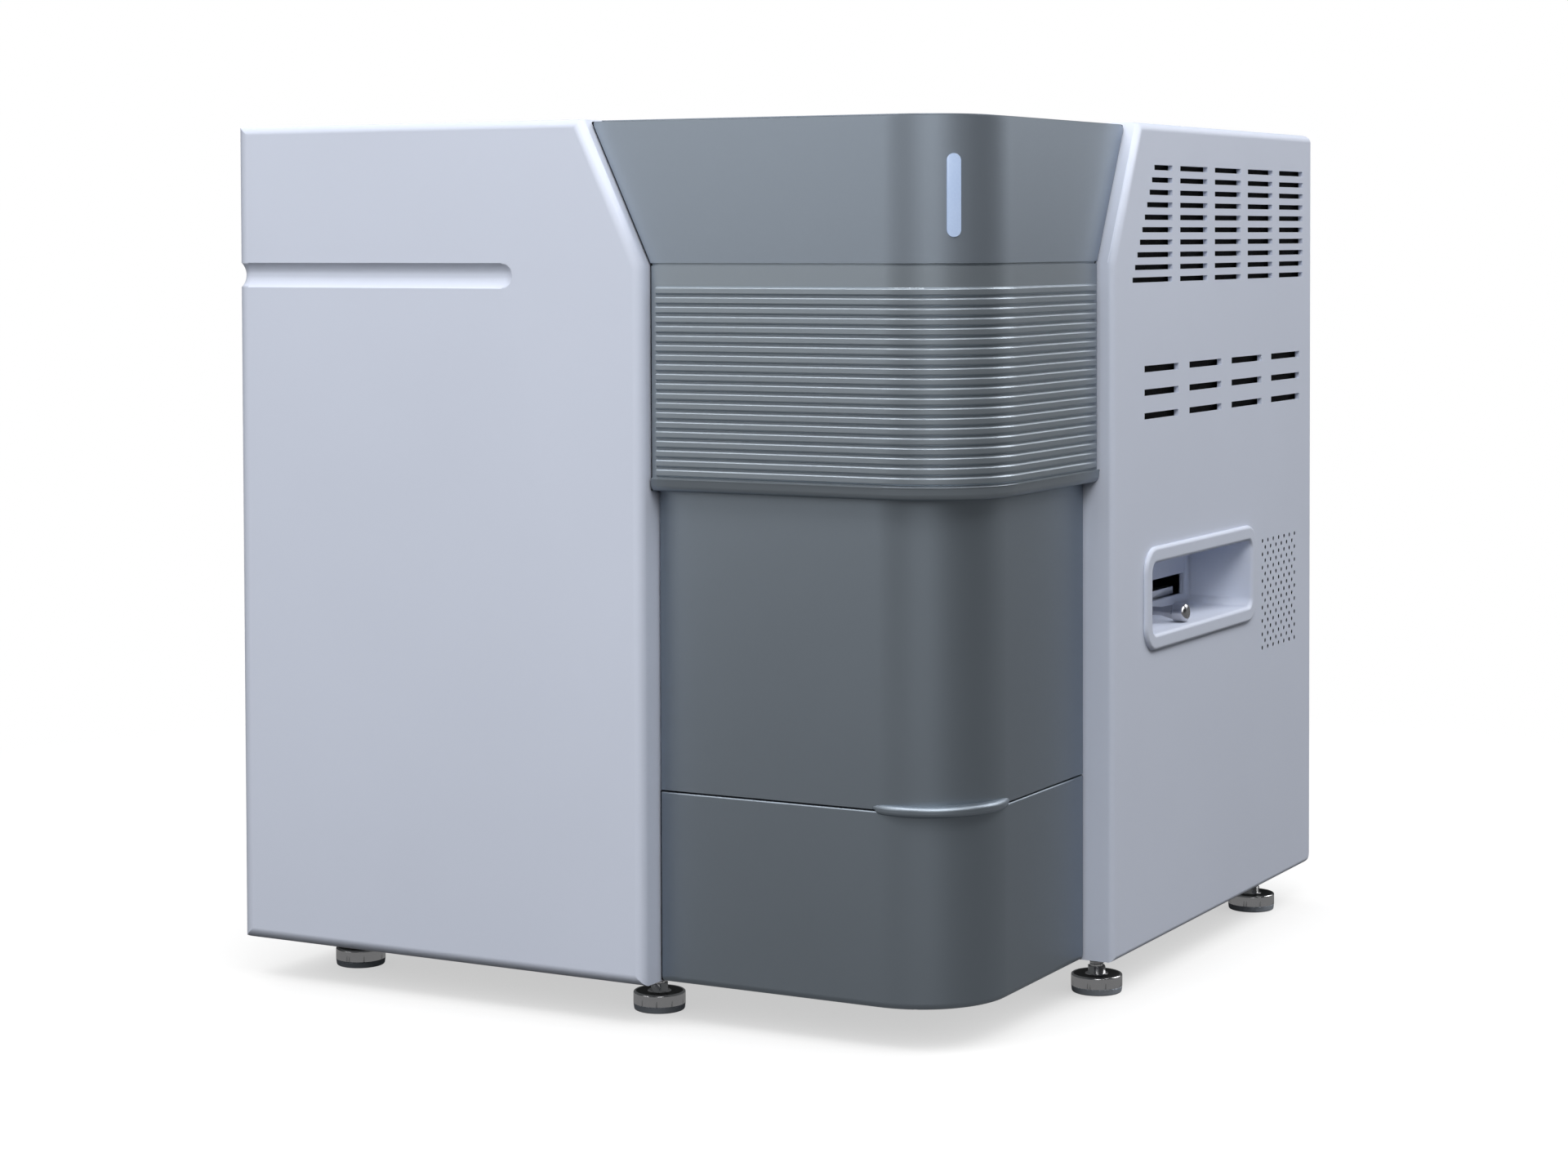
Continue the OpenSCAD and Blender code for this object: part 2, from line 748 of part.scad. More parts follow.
module status_light() {
    color([0.75, 0.85, 1]) in_body() intersection() {
        light_slot(0);
        translate([body_w - recess - corner_r, recess + corner_r, fascia_z])
            cylinder(r = corner_r + 0.6, h = body_h - fascia_z, $fn = 96);
    }
}

module rib_profile() {
    intersection() {
        translate([-wall / 2, 0]) square([wall, big]);
        union() {
            for (i = [0 : rib_count - 1])
                translate([rib_proud - rib_r, rib_first + i * rib_pitch]) circle(rib_r, $fn = 32);
            translate([-wall / 2, rib_first - rib_pitch / 2]) square([wall / 4, rib_count * rib_pitch]);
        }
    }
}

module rib_wall_profile() {
    translate([-wall, rib_cover_z + lip_r]) square([wall, fascia_z - shadow_gap - rib_cover_z - lip_r]);
    translate([rib_proud - lip_r, rib_cover_z + lip_r]) circle(lip_r);
}

module ribbed_cover() {
    color(DARK_GREY) in_body() {
        lapped_run(recess) rib_wall_profile();
        corner_run(recess, corner_r, left_face_w + rib_margin, side_front - rib_margin) rib_profile();
        // hidden strip that meets the fascia
        corner_run(recess, corner_r, left_face_w, side_front)
            translate([-wall, fascia_z - shadow_gap - 1]) square([wall / 2, shadow_gap + 1]);
    }
}

module lower_cover() {
    shelf = 30;
    color(DARK_GREY) in_body() {
        lapped_run(door_inset)
            soft_polygon([[-flange_w, 0], [0, 0], [0, seam_z], [-shelf, seam_z], [-shelf, seam_z - wall],
                [-wall, seam_z - wall], [-wall, wall], [-flange_w, wall]], [0, wall + 1, 1, 0, 0, 0, 0, 0]);
    }
}

module door_shoe(pos, sx, sy) {
    translate([pos[0], pos[1], door_top - shoe_h - 6]) difference() {
        translate([-sx, -sy[0], 0]) cube([2 * sx, sy[0] + sy[1], shoe_h]);
        translate([0, 0, -1]) cylinder(d = rod_d + 2 * bore_fit, h = shoe_h + 2);
    }
}

module sample_door() {
    door_in = door_inset + wall;
    color(DARK_GREY) in_body() {
        corner_run(door_inset, corner_r, left_face_w + shadow_gap, side_front - shadow_gap)
            translate([-wall, door_z]) square([wall, door_top - door_z]);
        door_shoe(rod_left, 7.5, [rod_left[1] - door_in, 8]);
        translate([rod_right[0], rod_right[1], door_top - shoe_h - 6]) difference() {
            translate([-8, -7, 0]) cube([body_w - door_in - rod_right[0] + 8, 13, shoe_h]);
            translate([0, 0, -1]) cylinder(d = rod_d + 2 * bore_fit, h = shoe_h + 2);
        }
    }
}

// Crescent lip round the door's lower corner
module door_handle() {
    r = corner_r;
    outer = r + handle_reach;
    shift = (outer * outer - r * r) / (2 * (outer - r * cos(handle_half_angle)));
    hr = outer - shift;
    soft = handle_h / 2 - 0.5;
    c = [body_w - door_inset - r, door_inset + r];
    handle_z = door_z - handle_h / 2;
    color(DARK_GREY) in_body() difference() {
        translate([c[0] + shift * cos(45), c[1] - shift * sin(45), handle_z])
            rotate_extrude() soft_polygon([[0, 0], [hr, 0], [hr, handle_h], [0, handle_h]], [0, soft, soft, 0]);
        translate([0, 0, door_z]) linear_extrude(handle_h)
            corner_plan(door_inset, r, 0, body_d);
        translate([0, 0, handle_z - 1]) linear_extrude(door_z - handle_z + 1)
            corner_plan(door_inset - 0.6, r + 0.6, 0, body_d);
    }
}

module guide_rod_left() {
    color(METAL) in_body() translate([rod_left[0], rod_left[1], seam_z]) cylinder(d = rod_d, h = rod_top - seam_z);
}

module guide_rod_right() {
    color(METAL) in_body() translate([rod_right[0], rod_right[1], seam_z])
        cylinder(d = rod_d, h = rod_top - seam_z);
}

// ---------- sample bay ----------

// Plan of the bay's liner, moved inwards by t on its closed sides
module bay_plan(t) {
    in = door_inset + wall + 2;
    notch_y = rod_right[1] - 10;
    difference() {
        corner_plan(in, corner_r - wall - 2, bay_x + t, bay_rear - t);
        square_from([bay_right - t, notch_y], [body_w, bay_rear]);
    }
}

module bay_liner() {
    color(WHITE) in_body() difference() {
        translate([0, 0, seam_z]) linear_extrude(bay_top - seam_z) bay_plan(0);
        translate([0, 0, bay_floor]) linear_extrude(bay_ceiling - bay_floor) union() {
            bay_plan(wall);
            square_from([bay_x + wall, 0], [body_w, rod_right[1] - 10]);
        }
    }
}

module plate_rails() {
    y1 = bay_rear - wall - 4;
    color(METAL) in_body() {
        box([bay_mid - 40, y1 - 158, bay_floor], [bay_mid + 40, y1, bay_floor + rail_base_t]);
        for (s = [-1, 1])
            box([bay_mid + s * 30 - 4, y1 - 158, bay_floor + rail_base_t], [bay_mid + s * 30 + 4, y1, carrier_z]);
    }
}

module plate_carrier() {
    w = rack_w / 2 + carrier_rim;
    d = rack_d / 2 + carrier_rim;
    fit = 0.3;
    color([0.3, 0.32, 0.35]) in_body() translate([bay_mid, rack_y, carrier_z]) {
        difference() {
            box([-w, -d, 0], [w, d, carrier_t + 5]);
            box([-rack_w / 2 - fit, -rack_d / 2 - fit, carrier_t], [rack_w / 2 + fit, rack_d / 2 + fit, carrier_t + 6]);
            // open middles of the four sides, so that fingers can lift the rack
            box([-w + 20, -d - 1, carrier_t], [w - 20, d + 1, carrier_t + 6]);
            box([-w - 1, -d + 20, carrier_t], [w + 1, d - 20, carrier_t + 6]);
        }
        for (s = [-1, 1])
            difference() {
                box([s * 30 - 9, -30, 0.5 - rail_h], [s * 30 + 9, 30, 0]);
                box([s * 30 - 4 - slide_fit, -31, -rail_h], [s * 30 + 4 + slide_fit, 31, 0]);
            }
    }
}

module tube_rack() {
    w = rack_w / 2;
    d = rack_d / 2;
    plate = 6;
    color([0.85, 0.86, 0.88]) in_body() translate([bay_mid, rack_y, rack_z]) difference() {
        box([-w, -d, 0], [w, d, rack_h]);
        box([-w + 4, -d - 1, plate], [w - 4, d + 1, rack_h / 2 - plate / 2]);
        box([-w + 4, -d - 1, rack_h / 2 + plate / 2], [w - 4, d + 1, rack_h - plate]);
        for (i = [0 : tube_cols - 1], j = [0 : tube_rows - 1])
            translate([(i - (tube_cols - 1) / 2) * tube_pitch, (j - (tube_rows - 1) / 2) * tube_pitch, plate - 2])
                cylinder(d = tube_hole, h = rack_h, $fn = 32);
    }
}

module probe_rail() {
    color(METAL) in_body() difference() {
        box([bay_x + wall + 2, probe_y, probe_rail_z], [bay_right - wall - 2, bay_rear - wall, probe_rail_z + 20]);
        for (z = [probe_rail_z - 1, probe_rail_z + 17])
            box([0, probe_y + 6, z], [body_w, bay_rear, z + 4]);
    }
}

module probe_carriage() {
    top = probe_rail_z + 23;
    low = probe_rail_z - 3;
    color([0.3, 0.32, 0.35]) in_body() translate([bay_mid, 0, 0]) {
        box([-17, probe_y - 16, low], [17, probe_y, top]);
        for (z = [[low, probe_rail_z - slide_fit], [probe_rail_z + 20 + slide_fit, top]])
            box([-17, probe_y, z[0]], [17, probe_y + 5, z[1]]);
        box([-5, probe_y - 22, guide_bottom], [5, probe_y - 16, top]);
    }
}

module probe_head() {
    top = probe_rail_z + 23;
    low = guide_bottom + probe_travel - 5;
    tip = rack_z + rack_h + needle_gap;
    color([0.75, 0.75, 0.78]) in_body() translate([bay_mid, 0, 0]) {
        difference() {
            box([-12, probe_y - 40, low], [12, probe_y - 16 - slide_fit, top]);
            box([-5 - slide_fit, probe_y - 22 - slide_fit, low - 1], [5 + slide_fit, probe_y, top + 1]);
            box([-13, probe_y - 41, low + 12], [13, probe_y - 32, top + 1]);
        }
        translate([0, rack_y, low]) cylinder(d = 14, h = 12);
        box([-5, rack_y, low], [5, probe_y - 40, low + 12]);
        translate([0, rack_y, tip]) cylinder(d = 2, h = low - tip, $fn = 24);
        translate([0, rack_y, low - 8]) cylinder(d = 5, h = 8, $fn = 32);
    }
}

// ---------- side pocket ----------

module pocket_outline(t) {
    soft_rect(pocket_y - t, pocket_z - t, pocket_y + pocket_len + t, pocket_z + pocket_h + t,
        [for (i = [0 : 3]) pocket_r + t]);
}

// Section of the raised rim: flat, with both edges rounded
module rim_section() {
    soft = pocket_rim_proud - 0.2;
    soft_rect(0, 0, pocket_rim, pocket_rim_proud, [0, 0, soft, soft]);
}

// Sweeps a section (x outwards from the mouth, y out of the cover) round the pocket's mouth
module round_mouth() {
    l = pocket_len - 2 * pocket_r;
    h = pocket_h - 2 * pocket_r;
    translate([body_w, pocket_y + pocket_r, pocket_z + pocket_r]) rotate([90, 0, 90]) {
        for (k = [[l, h, 0], [0, h, 90], [0, 0, 180], [l, 0, 270]])
            translate([k[0], k[1], 0]) rotate([0, 0, k[2]]) rotate_extrude(angle = 90)
                translate([pocket_r, 0]) children();
        for (k = [[l, h, 0, h], [0, h, 90, l], [0, 0, 180, h], [l, 0, 270, l]])
            translate([k[0], k[1], 0]) rotate([0, 0, k[2]]) translate([pocket_r, 0, 0]) rotate([90, 0, 0])
                linear_extrude(k[3]) children();
    }
}

module pocket_tray() {
    color(WHITE) in_body() {
        difference() {
            along_x(pocket_back - pocket_wall, body_w) pocket_outline(pocket_wall);
            along_x(pocket_back, body_w + 1) pocket_outline(0);
            box([0, pocket_y + window_y, pocket_z + window_z],
                [pocket_back + 1, pocket_y + window_y + window_len, pocket_z + window_z + window_h]);
            translate([0, pin_pos[0], pin_pos[1]]) rotate([0, 90, 0]) cylinder(d = pin_d + 4, h = body_w - 5);
        }
        round_mouth() rim_section();
    }
}

module pin_bush() {
    color(METAL) in_body() translate([pocket_back, pin_pos[0], pin_pos[1]]) rotate([0, 90, 0]) difference() {
        union() {
            translate([0, 0, -bush_len]) cylinder(d = pin_d + 4, h = bush_len + 1);
            cylinder(d = collar_d, h = 2.5);
        }
        translate([0, 0, -bush_len - 1]) cylinder(d = pin_d + 2 * bore_fit, h = bush_len + 10);
    }
}

module pull_pin() {
    back = -bush_len - pin_travel - 1;
    inner = knob_out - knob_w;
    color(METAL) in_body() translate([pocket_back, pin_pos[0], pin_pos[1]]) rotate([0, 90, 0]) {
        translate([0, 0, back - 4]) cylinder(d = pin_d + 5, h = 4);
        cylinder_from(back - 1, inner + 1, pin_d);
        translate([0, 0, inner - flare_len]) cylinder(d1 = pin_d, d2 = 0.8 * knob_d, h = flare_len);
        translate([0, 0, inner]) rotate_extrude()
            soft_polygon([[0, 0], [knob_d / 2, 0], [knob_d / 2, knob_w], [0, knob_w]],
                [0, knob_w / 8, knob_w / 3, 0]);
    }
}

module latch_bar() {
    y0 = pocket_y + pin_y + 8;
    z0 = pocket_z + window_z;
    back = pocket_back - pocket_wall;
    color(METAL) in_body() difference() {
        box([back - 6, y0, z0 - 6], [back, pocket_y + window_y + window_len - 12, z0 + 5.8]);
        // dark slit along the window's lower edge
        box([back - 2, pocket_y + window_y, z0 - 1], [back + 1, body_d, z0 + 1.2]);
        for (y = [y0 + 4, y0 + 12])
            translate([0, y, z0]) rotate([0, 90, 0]) cylinder(d = 3.2, h = body_w, $fn = 24);
    }
}

// ---------- feet ----------

module foot(i) {
    disc_top = pad_h + disc_h;
    color(METAL) in_body() translate([feet[i][0], feet[i][1], -foot_h]) {
        difference() {
            translate([0, 0, pad_h]) rotate_extrude()
                soft_polygon([[0, 0], [foot_d / 2, 0], [foot_d / 2, disc_h], [0, disc_h]], [0, 0, 1, 0]);
            translate([0, 0, disc_top - 1]) difference() {
                cylinder(d = foot_d - 3, h = 2);
                cylinder(d = hex_af + 4, h = 2);
            }
        }
        translate([0, 0, disc_top]) cylinder(d = hex_af / cos(30), h = hex_h, $fn = 6);
        cylinder_from(disc_top, foot_h + stud_top - 3, stud_d);
    }
}

module cylinder_from(z0, z1, d) {
    translate([0, 0, z0]) cylinder(d = d, h = z1 - z0);
}

module pad(i) {
    color(BLACK) in_body() translate([feet[i][0], feet[i][1], -foot_h]) rotate_extrude()
        soft_polygon([[0, 0], [foot_d / 2 - 0.5, 0], [foot_d / 2, pad_h], [0, pad_h]], [0, 1, 0, 0]);
}

module foot_front_left() { foot(0); }
module foot_front_middle() { foot(1); }
module foot_right_front() { foot(2); }
module foot_right_rear() { foot(3); }
module foot_left_rear() { foot(4); }
module pad_front_left() { pad(0); }
module pad_front_middle() { pad(1); }
module pad_right_front() { pad(2); }
module pad_right_rear() { pad(3); }
module pad_left_rear() { pad(4); }

// ---------- optics ----------

module laser(i) {
    color(BLACK) in_body() translate([laser_x[i], laser_y, deck_top]) {
        difference() {
            cube(laser_size);
            for (x = [6 : 8 : laser_size[0] - 8])
                translate([x, -1, laser_size[2] - 10]) cube([4, laser_size[1] + 2, 11]);
        }
        translate([laser_size[0] / 2, 0, beam_z]) rotate([90, 0, 0]) cylinder(d = 12, h = 8);
    }
}

module laser_1() { laser(0); }
module laser_2() { laser(1); }
module laser_3() { laser(2); }

module steering_mirrors() {
    rail_top = 8;
    color(METAL) in_body() translate([0, mirror_y, deck_top]) {
        box([laser_x[0], -12, 0], [laser_x[2] + laser_size[0], 12, rail_top]);
        for (x = laser_x)
            translate([x + laser_size[0] / 2, 0, 0]) {
                cylinder(d = 10, h = beam_z);
                translate([0, 0, beam_z]) rotate([0, 0, 45]) rotate([90, 0, 0]) cylinder(d = 20, h = 5, center = true);
            }
    }
}

module flow_cell() {
    cell_x = optics_x - 14;
    color([0.8, 0.9, 0.95]) in_body() translate([cell_x, mirror_y - 14, deck_top]) {
        difference() {
            cube([28, 28, 46]);
            translate([-1, 9, beam_z - 5]) cube([30, 10, 10]);
            translate([9, -1, beam_z - 5]) cube([10, 30, 10]);
        }
        translate([11, 11, beam_z - 5]) cube([6, 6, 10]);
        translate([14, 14, 46]) cylinder(d = 8, h = 10);
    }
}

module objective() {
    color(METAL) in_body() translate([optics_x, mirror_y - 14, deck_top]) {
        box([-16, -40, 0], [16, -16, 12]);
        translate([0, -2, beam_z]) rotate([90, 0, 0]) {
            cylinder(d1 = 14, d2 = 30, h = 12);
            translate([0, 0, 12]) cylinder(d = 30, h = 40);
        }
    }
}

module scatter_detector() {
    color(BLACK) in_body() translate([optics_x + 24, mirror_y, deck_top]) {
        box([0, -16, 0], [44, 16, 40]);
        translate([0, 0, beam_z]) rotate([0, -90, 0]) cylinder(d = 16, h = 6);
    }
}

module detector(x) {
    size = detector_size;
    color(BLACK) in_body() translate([x, detector_y, deck_top]) difference() {
        cube(size);
        for (y = [10 : 12 : size[1] - 12])
            translate([-1, y, size[2] - 14]) cube([size[0] + 2, 7, 15]);
    }
}

module detector_1() { detector(detector_x[0]); }
module detector_2() { detector(detector_x[1]); }

// ---------- electronics and fluids ----------

module power_supply() {
    size = supply_size;
    color(METAL) in_body() translate([supply_at[0], supply_at[1], pan_top]) difference() {
        cube(size);
        for (y = [16 : 10 : size[1] - 20])
            translate([12, y, size[2] - 3]) cube([size[0] - 24, 4, 4]);
    }
}

module main_board() {
    // heat sinks: place as shares of the board's length and height, then their side
    sinks = [[0.125, 0.2, 40], [0.46, 0.3, 40], [0.17, 0.65, 50], [0.625, 0.65, 50]];
    color([0.1, 0.35, 0.2]) in_body() translate([board_at[0], board_at[1], pan_top]) {
        cube(board_size);
        for (k = sinks)
            translate([board_size[0], k[0] * board_size[1], k[1] * board_size[2]]) difference() {
                cube([16, k[2], k[2]]);
                for (y = [5 : 7 : k[2] - 6])
                    translate([5, y, -1]) cube([12, 3.5, k[2] + 2]);
            }
    }
}

module sheath_pump() {
    color(METAL) in_body() translate([pump_at[0], pump_at[1], pan_top]) {
        box([-28, -24, 0], [28, 24, 6]);
        translate([0, 0, 6]) cylinder(d = pump_d, h = 70);
        box([-26, -22, 76], [26, 22, 104]);
        for (s = [-1, 1])
            translate([s * 14, -22, 90]) rotate([90, 0, 0]) cylinder(d = 6, h = 10);
    }
}

module sheath_filter() {
    r = filter_r;
    neck = r - 6;
    h = filter_h;
    color([0.9, 0.92, 0.95]) in_body() translate([filter_at[0], filter_at[1], pan_top]) rotate_extrude()
        soft_polygon([[0, 0], [neck, 0], [neck, 8], [r, 14], [r, h - 8], [neck, h], [5, h], [5, h + 16], [0, h + 16]],
            [0, 2, 0, 0, 0, 0, 0, 1, 0]);
}

module valve_manifold() {
    color([0.8, 0.82, 0.85]) in_body() translate([manifold_at[0], manifold_at[1], pan_top]) {
        cube([valve_count * valve_pitch + 2, 30, 34]);
        for (i = [0 : valve_count - 1])
            translate([12 + valve_pitch * i, 15, 34]) {
                cylinder(d = 16, h = 26);
                translate([0, 0, 26]) cylinder(d = 8, h = 6);
            }
    }
}

// ---------- cooling ----------

module fan_frame(x) {
    color(BLACK) in_body() translate([x, body_d - rear_t, fan_z]) rotate([90, 0, 0]) {
        difference() {
            linear_extrude(fan_depth) soft_rect(-fan_w / 2, -fan_w / 2, fan_w / 2, fan_w / 2, [4, 4, 4, 4]);
            translate([0, 0, -1]) cylinder(r = fan_bore_r, h = fan_depth + 2);
            for (i = [-1, 1], j = [-1, 1])
                translate([i * (fan_w / 2 - 7.5), j * (fan_w / 2 - 7.5), -1]) cylinder(d = 4.3, h = fan_depth + 2);
        }
        // struts and motor base behind the rotor
        translate([0, 0, fan_depth - 4]) {
            cylinder(r = hub_r, h = 4);
            for (a = [0 : 90 : 270])
                rotate(a + 45) translate([0, -2.5, 0]) cube([fan_bore_r + 2, 5, 4]);
        }
    }
}

module fan_frame_left() { fan_frame(fan_x[0]); }
module fan_frame_right() { fan_frame(fan_x[1]); }

module fan_rotor(x) {
    reach = fan_bore_r - 2;
    color(BLACK) in_body() translate([x, body_d - rear_t, fan_z]) rotate([90, 0, 0]) translate([0, 0, 2]) {
        cylinder(r = hub_r, h = fan_depth - 6 - 0.5);
        intersection() {
            cylinder(r = reach, h = fan_depth - 7);
            for (i = [0 : fan_blades - 1])
                rotate(i * 360 / fan_blades) translate([hub_r - 3, 0, (fan_depth - 7) / 2]) rotate([38, 0, 0])
                    translate([0, -13, -1]) cube([fan_bore_r, 26, 2]);
        }
    }
}

module fan_rotor_left() { fan_rotor(fan_x[0]); }
module fan_rotor_right() { fan_rotor(fan_x[1]); }

// ---------- rear connectors ----------

module power_inlet() {
    x = well[0] + inlet_x;
    color(BLACK) in_body() difference() {
        union() {
            box([x - 5, well_face, well_mid - 18], [x + 55, well_face + 2, well_mid + 18]);
            box([x - 1.5, well_face - 26, well_mid - 14.5], [x + 51.5, well_face, well_mid + 14.5]);
        }
        // mains socket round its three blades
        difference() {
            along_y(well_face - 18, well_face + 3)
                soft_rect(x + 2, well_mid - 9, x + 28, well_mid + 9, [1, 1, 5, 5]);
            for (b = [[8, -3], [15, 1], [22, -3]])
                box([x + b[0] - 1, well_face - 19, well_mid + b[1] - 2], [x + b[0] + 1, well_face - 3, well_mid + b[1] + 2]);
        }
        // bay of the rocker
        box([x + 34, well_face - 14, well_mid - rocker_r - 1], [x + 48, well_face + 3, well_mid + rocker_r + 1]);
    }
}

module power_rocker() {
    x = well[0] + inlet_x + 34 + 0.5;
    color([0.15, 0.15, 0.16]) in_body() translate([x, well_face - 1, well_mid]) rotate([-7, 0, 0])
        rotate([90, 0, 90]) linear_extrude(13) difference() {
            circle(rocker_r);
            polygon([[4, 0], [1 + rocker_r, rocker_r + 1], [rocker_r + 9, 0], [1 + rocker_r, -rocker_r - 1]]);
            translate([-20 - 5, -10]) square([20, 20]);
        }
}

module data_sockets() {
    x = well[0] + sockets_x;
    color(METAL) in_body() difference() {
        union() {
            box([x - 3, well_face, well_mid - 12], [x + 53, well_face + 1.5, well_mid + 12]);
            box([x + 0.5, well_face - 20, well_mid - 8.5], [x + 49.5, well_face, well_mid + 8.5]);
        }
        box([x + 4, well_face - 15, well_mid - 6], [x + 19, well_face + 3, well_mid + 6]);
        for (z = [well_mid - 6, well_mid + 1])
            box([x + 26, well_face - 15, z], [x + 39, well_face + 3, z + 5.5]);
    }
}

module fluid_port(x) {
    color(METAL) in_body() translate([well[0] + x, well_face, well_mid]) rotate([-90, 0, 0]) {
        translate([0, 0, -16]) cylinder(d = 12, h = 16);
        cylinder(d = 18, h = 4, $fn = 6);
        translate([0, 0, 4]) cylinder(d = 9, h = 4);
        translate([0, 0, 8]) cylinder(d = 6.4, h = 12);
    }
}

module sheath_port() { fluid_port(ports_x[0]); }
module waste_port() { fluid_port(ports_x[1]); }

floor_pan();
frame();
optical_deck();
left_cover();
right_cover();
top_lid();
top_fascia();
status_light();
ribbed_cover();
lower_cover();
rear_panel();
pocket_tray();
pin_bush();
pull_pin();
latch_bar();
sample_door();
door_handle();
guide_rod_left();
guide_rod_right();
bay_liner();
plate_rails();
plate_carrier();
tube_rack();
probe_rail();
probe_carriage();
probe_head();
foot_front_left();
foot_front_middle();
foot_right_front();
foot_right_rear();
foot_left_rear();
pad_front_left();
pad_front_middle();
pad_right_front();
pad_right_rear();
pad_left_rear();
laser_1();
laser_2();
laser_3();
steering_mirrors();
flow_cell();
objective();
scatter_detector();
detector_1();
detector_2();
power_supply();
main_board();
sheath_pump();
sheath_filter();
valve_manifold();
fan_frame_left();
fan_frame_right();
fan_rotor_left();
fan_rotor_right();
power_inlet();
power_rocker();
data_sockets();
sheath_port();
waste_port();
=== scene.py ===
# %% [markdown]
# # A bench-top flow cytometer, dressed for a studio picture
# The machine comes in as a ready-made frame: every cover, rod, foot and board is already in its
# place, in metres. This lesson gives it its camera, its finishes and its light, and models by hand
# what the solids lack: black sheets behind the vents, which stand in for the shade there, the
# threads and rings of the feet, and the screws of the rear panel. Every cell prints what it made,
# so that each step can be followed and changed.

# %% Load the frame
import bpy
import json
import math
from mathutils import Matrix, Vector


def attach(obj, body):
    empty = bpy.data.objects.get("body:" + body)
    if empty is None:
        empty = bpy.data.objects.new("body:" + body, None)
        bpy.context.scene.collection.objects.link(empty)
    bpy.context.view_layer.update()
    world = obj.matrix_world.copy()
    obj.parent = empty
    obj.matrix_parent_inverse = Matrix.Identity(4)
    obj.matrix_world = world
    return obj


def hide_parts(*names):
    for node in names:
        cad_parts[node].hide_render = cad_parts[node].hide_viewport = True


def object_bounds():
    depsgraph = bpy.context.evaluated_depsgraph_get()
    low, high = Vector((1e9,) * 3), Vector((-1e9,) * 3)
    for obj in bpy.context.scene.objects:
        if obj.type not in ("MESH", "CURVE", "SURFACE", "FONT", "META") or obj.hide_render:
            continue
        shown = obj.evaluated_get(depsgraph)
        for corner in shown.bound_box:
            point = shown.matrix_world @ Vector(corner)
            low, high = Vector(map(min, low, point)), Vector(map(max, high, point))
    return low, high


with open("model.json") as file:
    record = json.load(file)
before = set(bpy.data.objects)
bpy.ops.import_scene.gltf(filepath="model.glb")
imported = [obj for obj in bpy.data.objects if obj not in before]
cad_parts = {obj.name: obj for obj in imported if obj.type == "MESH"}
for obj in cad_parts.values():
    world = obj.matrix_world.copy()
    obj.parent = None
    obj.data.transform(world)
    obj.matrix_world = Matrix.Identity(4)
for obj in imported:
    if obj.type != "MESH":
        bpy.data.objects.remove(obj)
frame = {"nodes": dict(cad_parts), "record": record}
cad_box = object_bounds()
nodes = frame["nodes"]
bodies = frame["record"]["behaviour"]["bodies"]
body_of_node = {node: body for body, members in bodies.items() for node in members}
slot_of_node = {s["node"]: s["material_slot"] for s in frame["record"]["subparts"]}
corners = [[round(v, 4) for v in corner] for corner in cad_box]
print(len(nodes), "nodes; the overall box in metres is", corners)

# %% [markdown]
# ## The camera
# A long lens keeps the uprights upright: the camera stands two metres away, to the right of the
# front, a little below the top of the machine. The lens is shifted down, as an architect's camera
# is, so that the whole machine fits in the picture while the camera itself stays nearly level.

# %% Camera
IMAGE_W, IMAGE_H = 1920, 1418
FOCAL_PX = 3916.0
CENTRE_ROW = 416.1
SENSOR_MM = 36
YAW, PITCH, ROLL = math.radians(28.424), math.radians(1.84), math.radians(-0.18)
EYE = Vector((0.97815, -1.8347, 0.4567))

forward = Vector((-math.sin(YAW) * math.cos(PITCH),
                  math.cos(YAW) * math.cos(PITCH),
                  -math.sin(PITCH)))
level = Vector((math.cos(YAW), math.sin(YAW), 0))
upright = level.cross(forward)
right = math.cos(ROLL) * level + math.sin(ROLL) * upright
up = -math.sin(ROLL) * level + math.cos(ROLL) * upright

lens = bpy.data.cameras.new("camera")
lens.sensor_width = SENSOR_MM
lens.lens = FOCAL_PX / IMAGE_W * lens.sensor_width
lens.shift_y = (CENTRE_ROW - IMAGE_H / 2) / IMAGE_W
lens.clip_end = 50
camera = bpy.data.objects.new("camera", lens)
bpy.context.scene.collection.objects.link(camera)
camera.matrix_world = Matrix((
    (right.x, up.x, -forward.x, EYE.x),
    (right.y, up.y, -forward.y, EYE.y),
    (right.z, up.z, -forward.z, EYE.z),
    (0, 0, 0, 1)))
bpy.context.scene.camera = camera
print("lens", round(lens.lens, 1), "mm, shift", round(lens.shift_y, 3))

# %% [markdown]
# ## Small tools for modelling
# Blender's operators act on whatever is selected, so each step starts by letting go of everything.
# A few short helpers then take care of the steps that every piece needs: going into edit mode with
# chosen faces, putting a finished piece's place into its mesh, and tying it to the body that
# carries it.

# %% Modelling helpers
scene = bpy.context.scene


def let_go():
    """Nothing is selected and nothing is in edit mode."""
    if bpy.context.object is not None and bpy.context.object.mode != "OBJECT":
        bpy.ops.object.mode_set(mode="OBJECT")
    bpy.ops.object.select_all(action="DESELECT")


def pick(o):
    """This object alone is selected, and it is the active one."""
    let_go()
    o.select_set(True)
    bpy.context.view_layer.objects.active = o


def added(name):
    """The primitive that was just added, under its own name."""
    o = bpy.context.object
    o.name = o.data.name = name
    return o


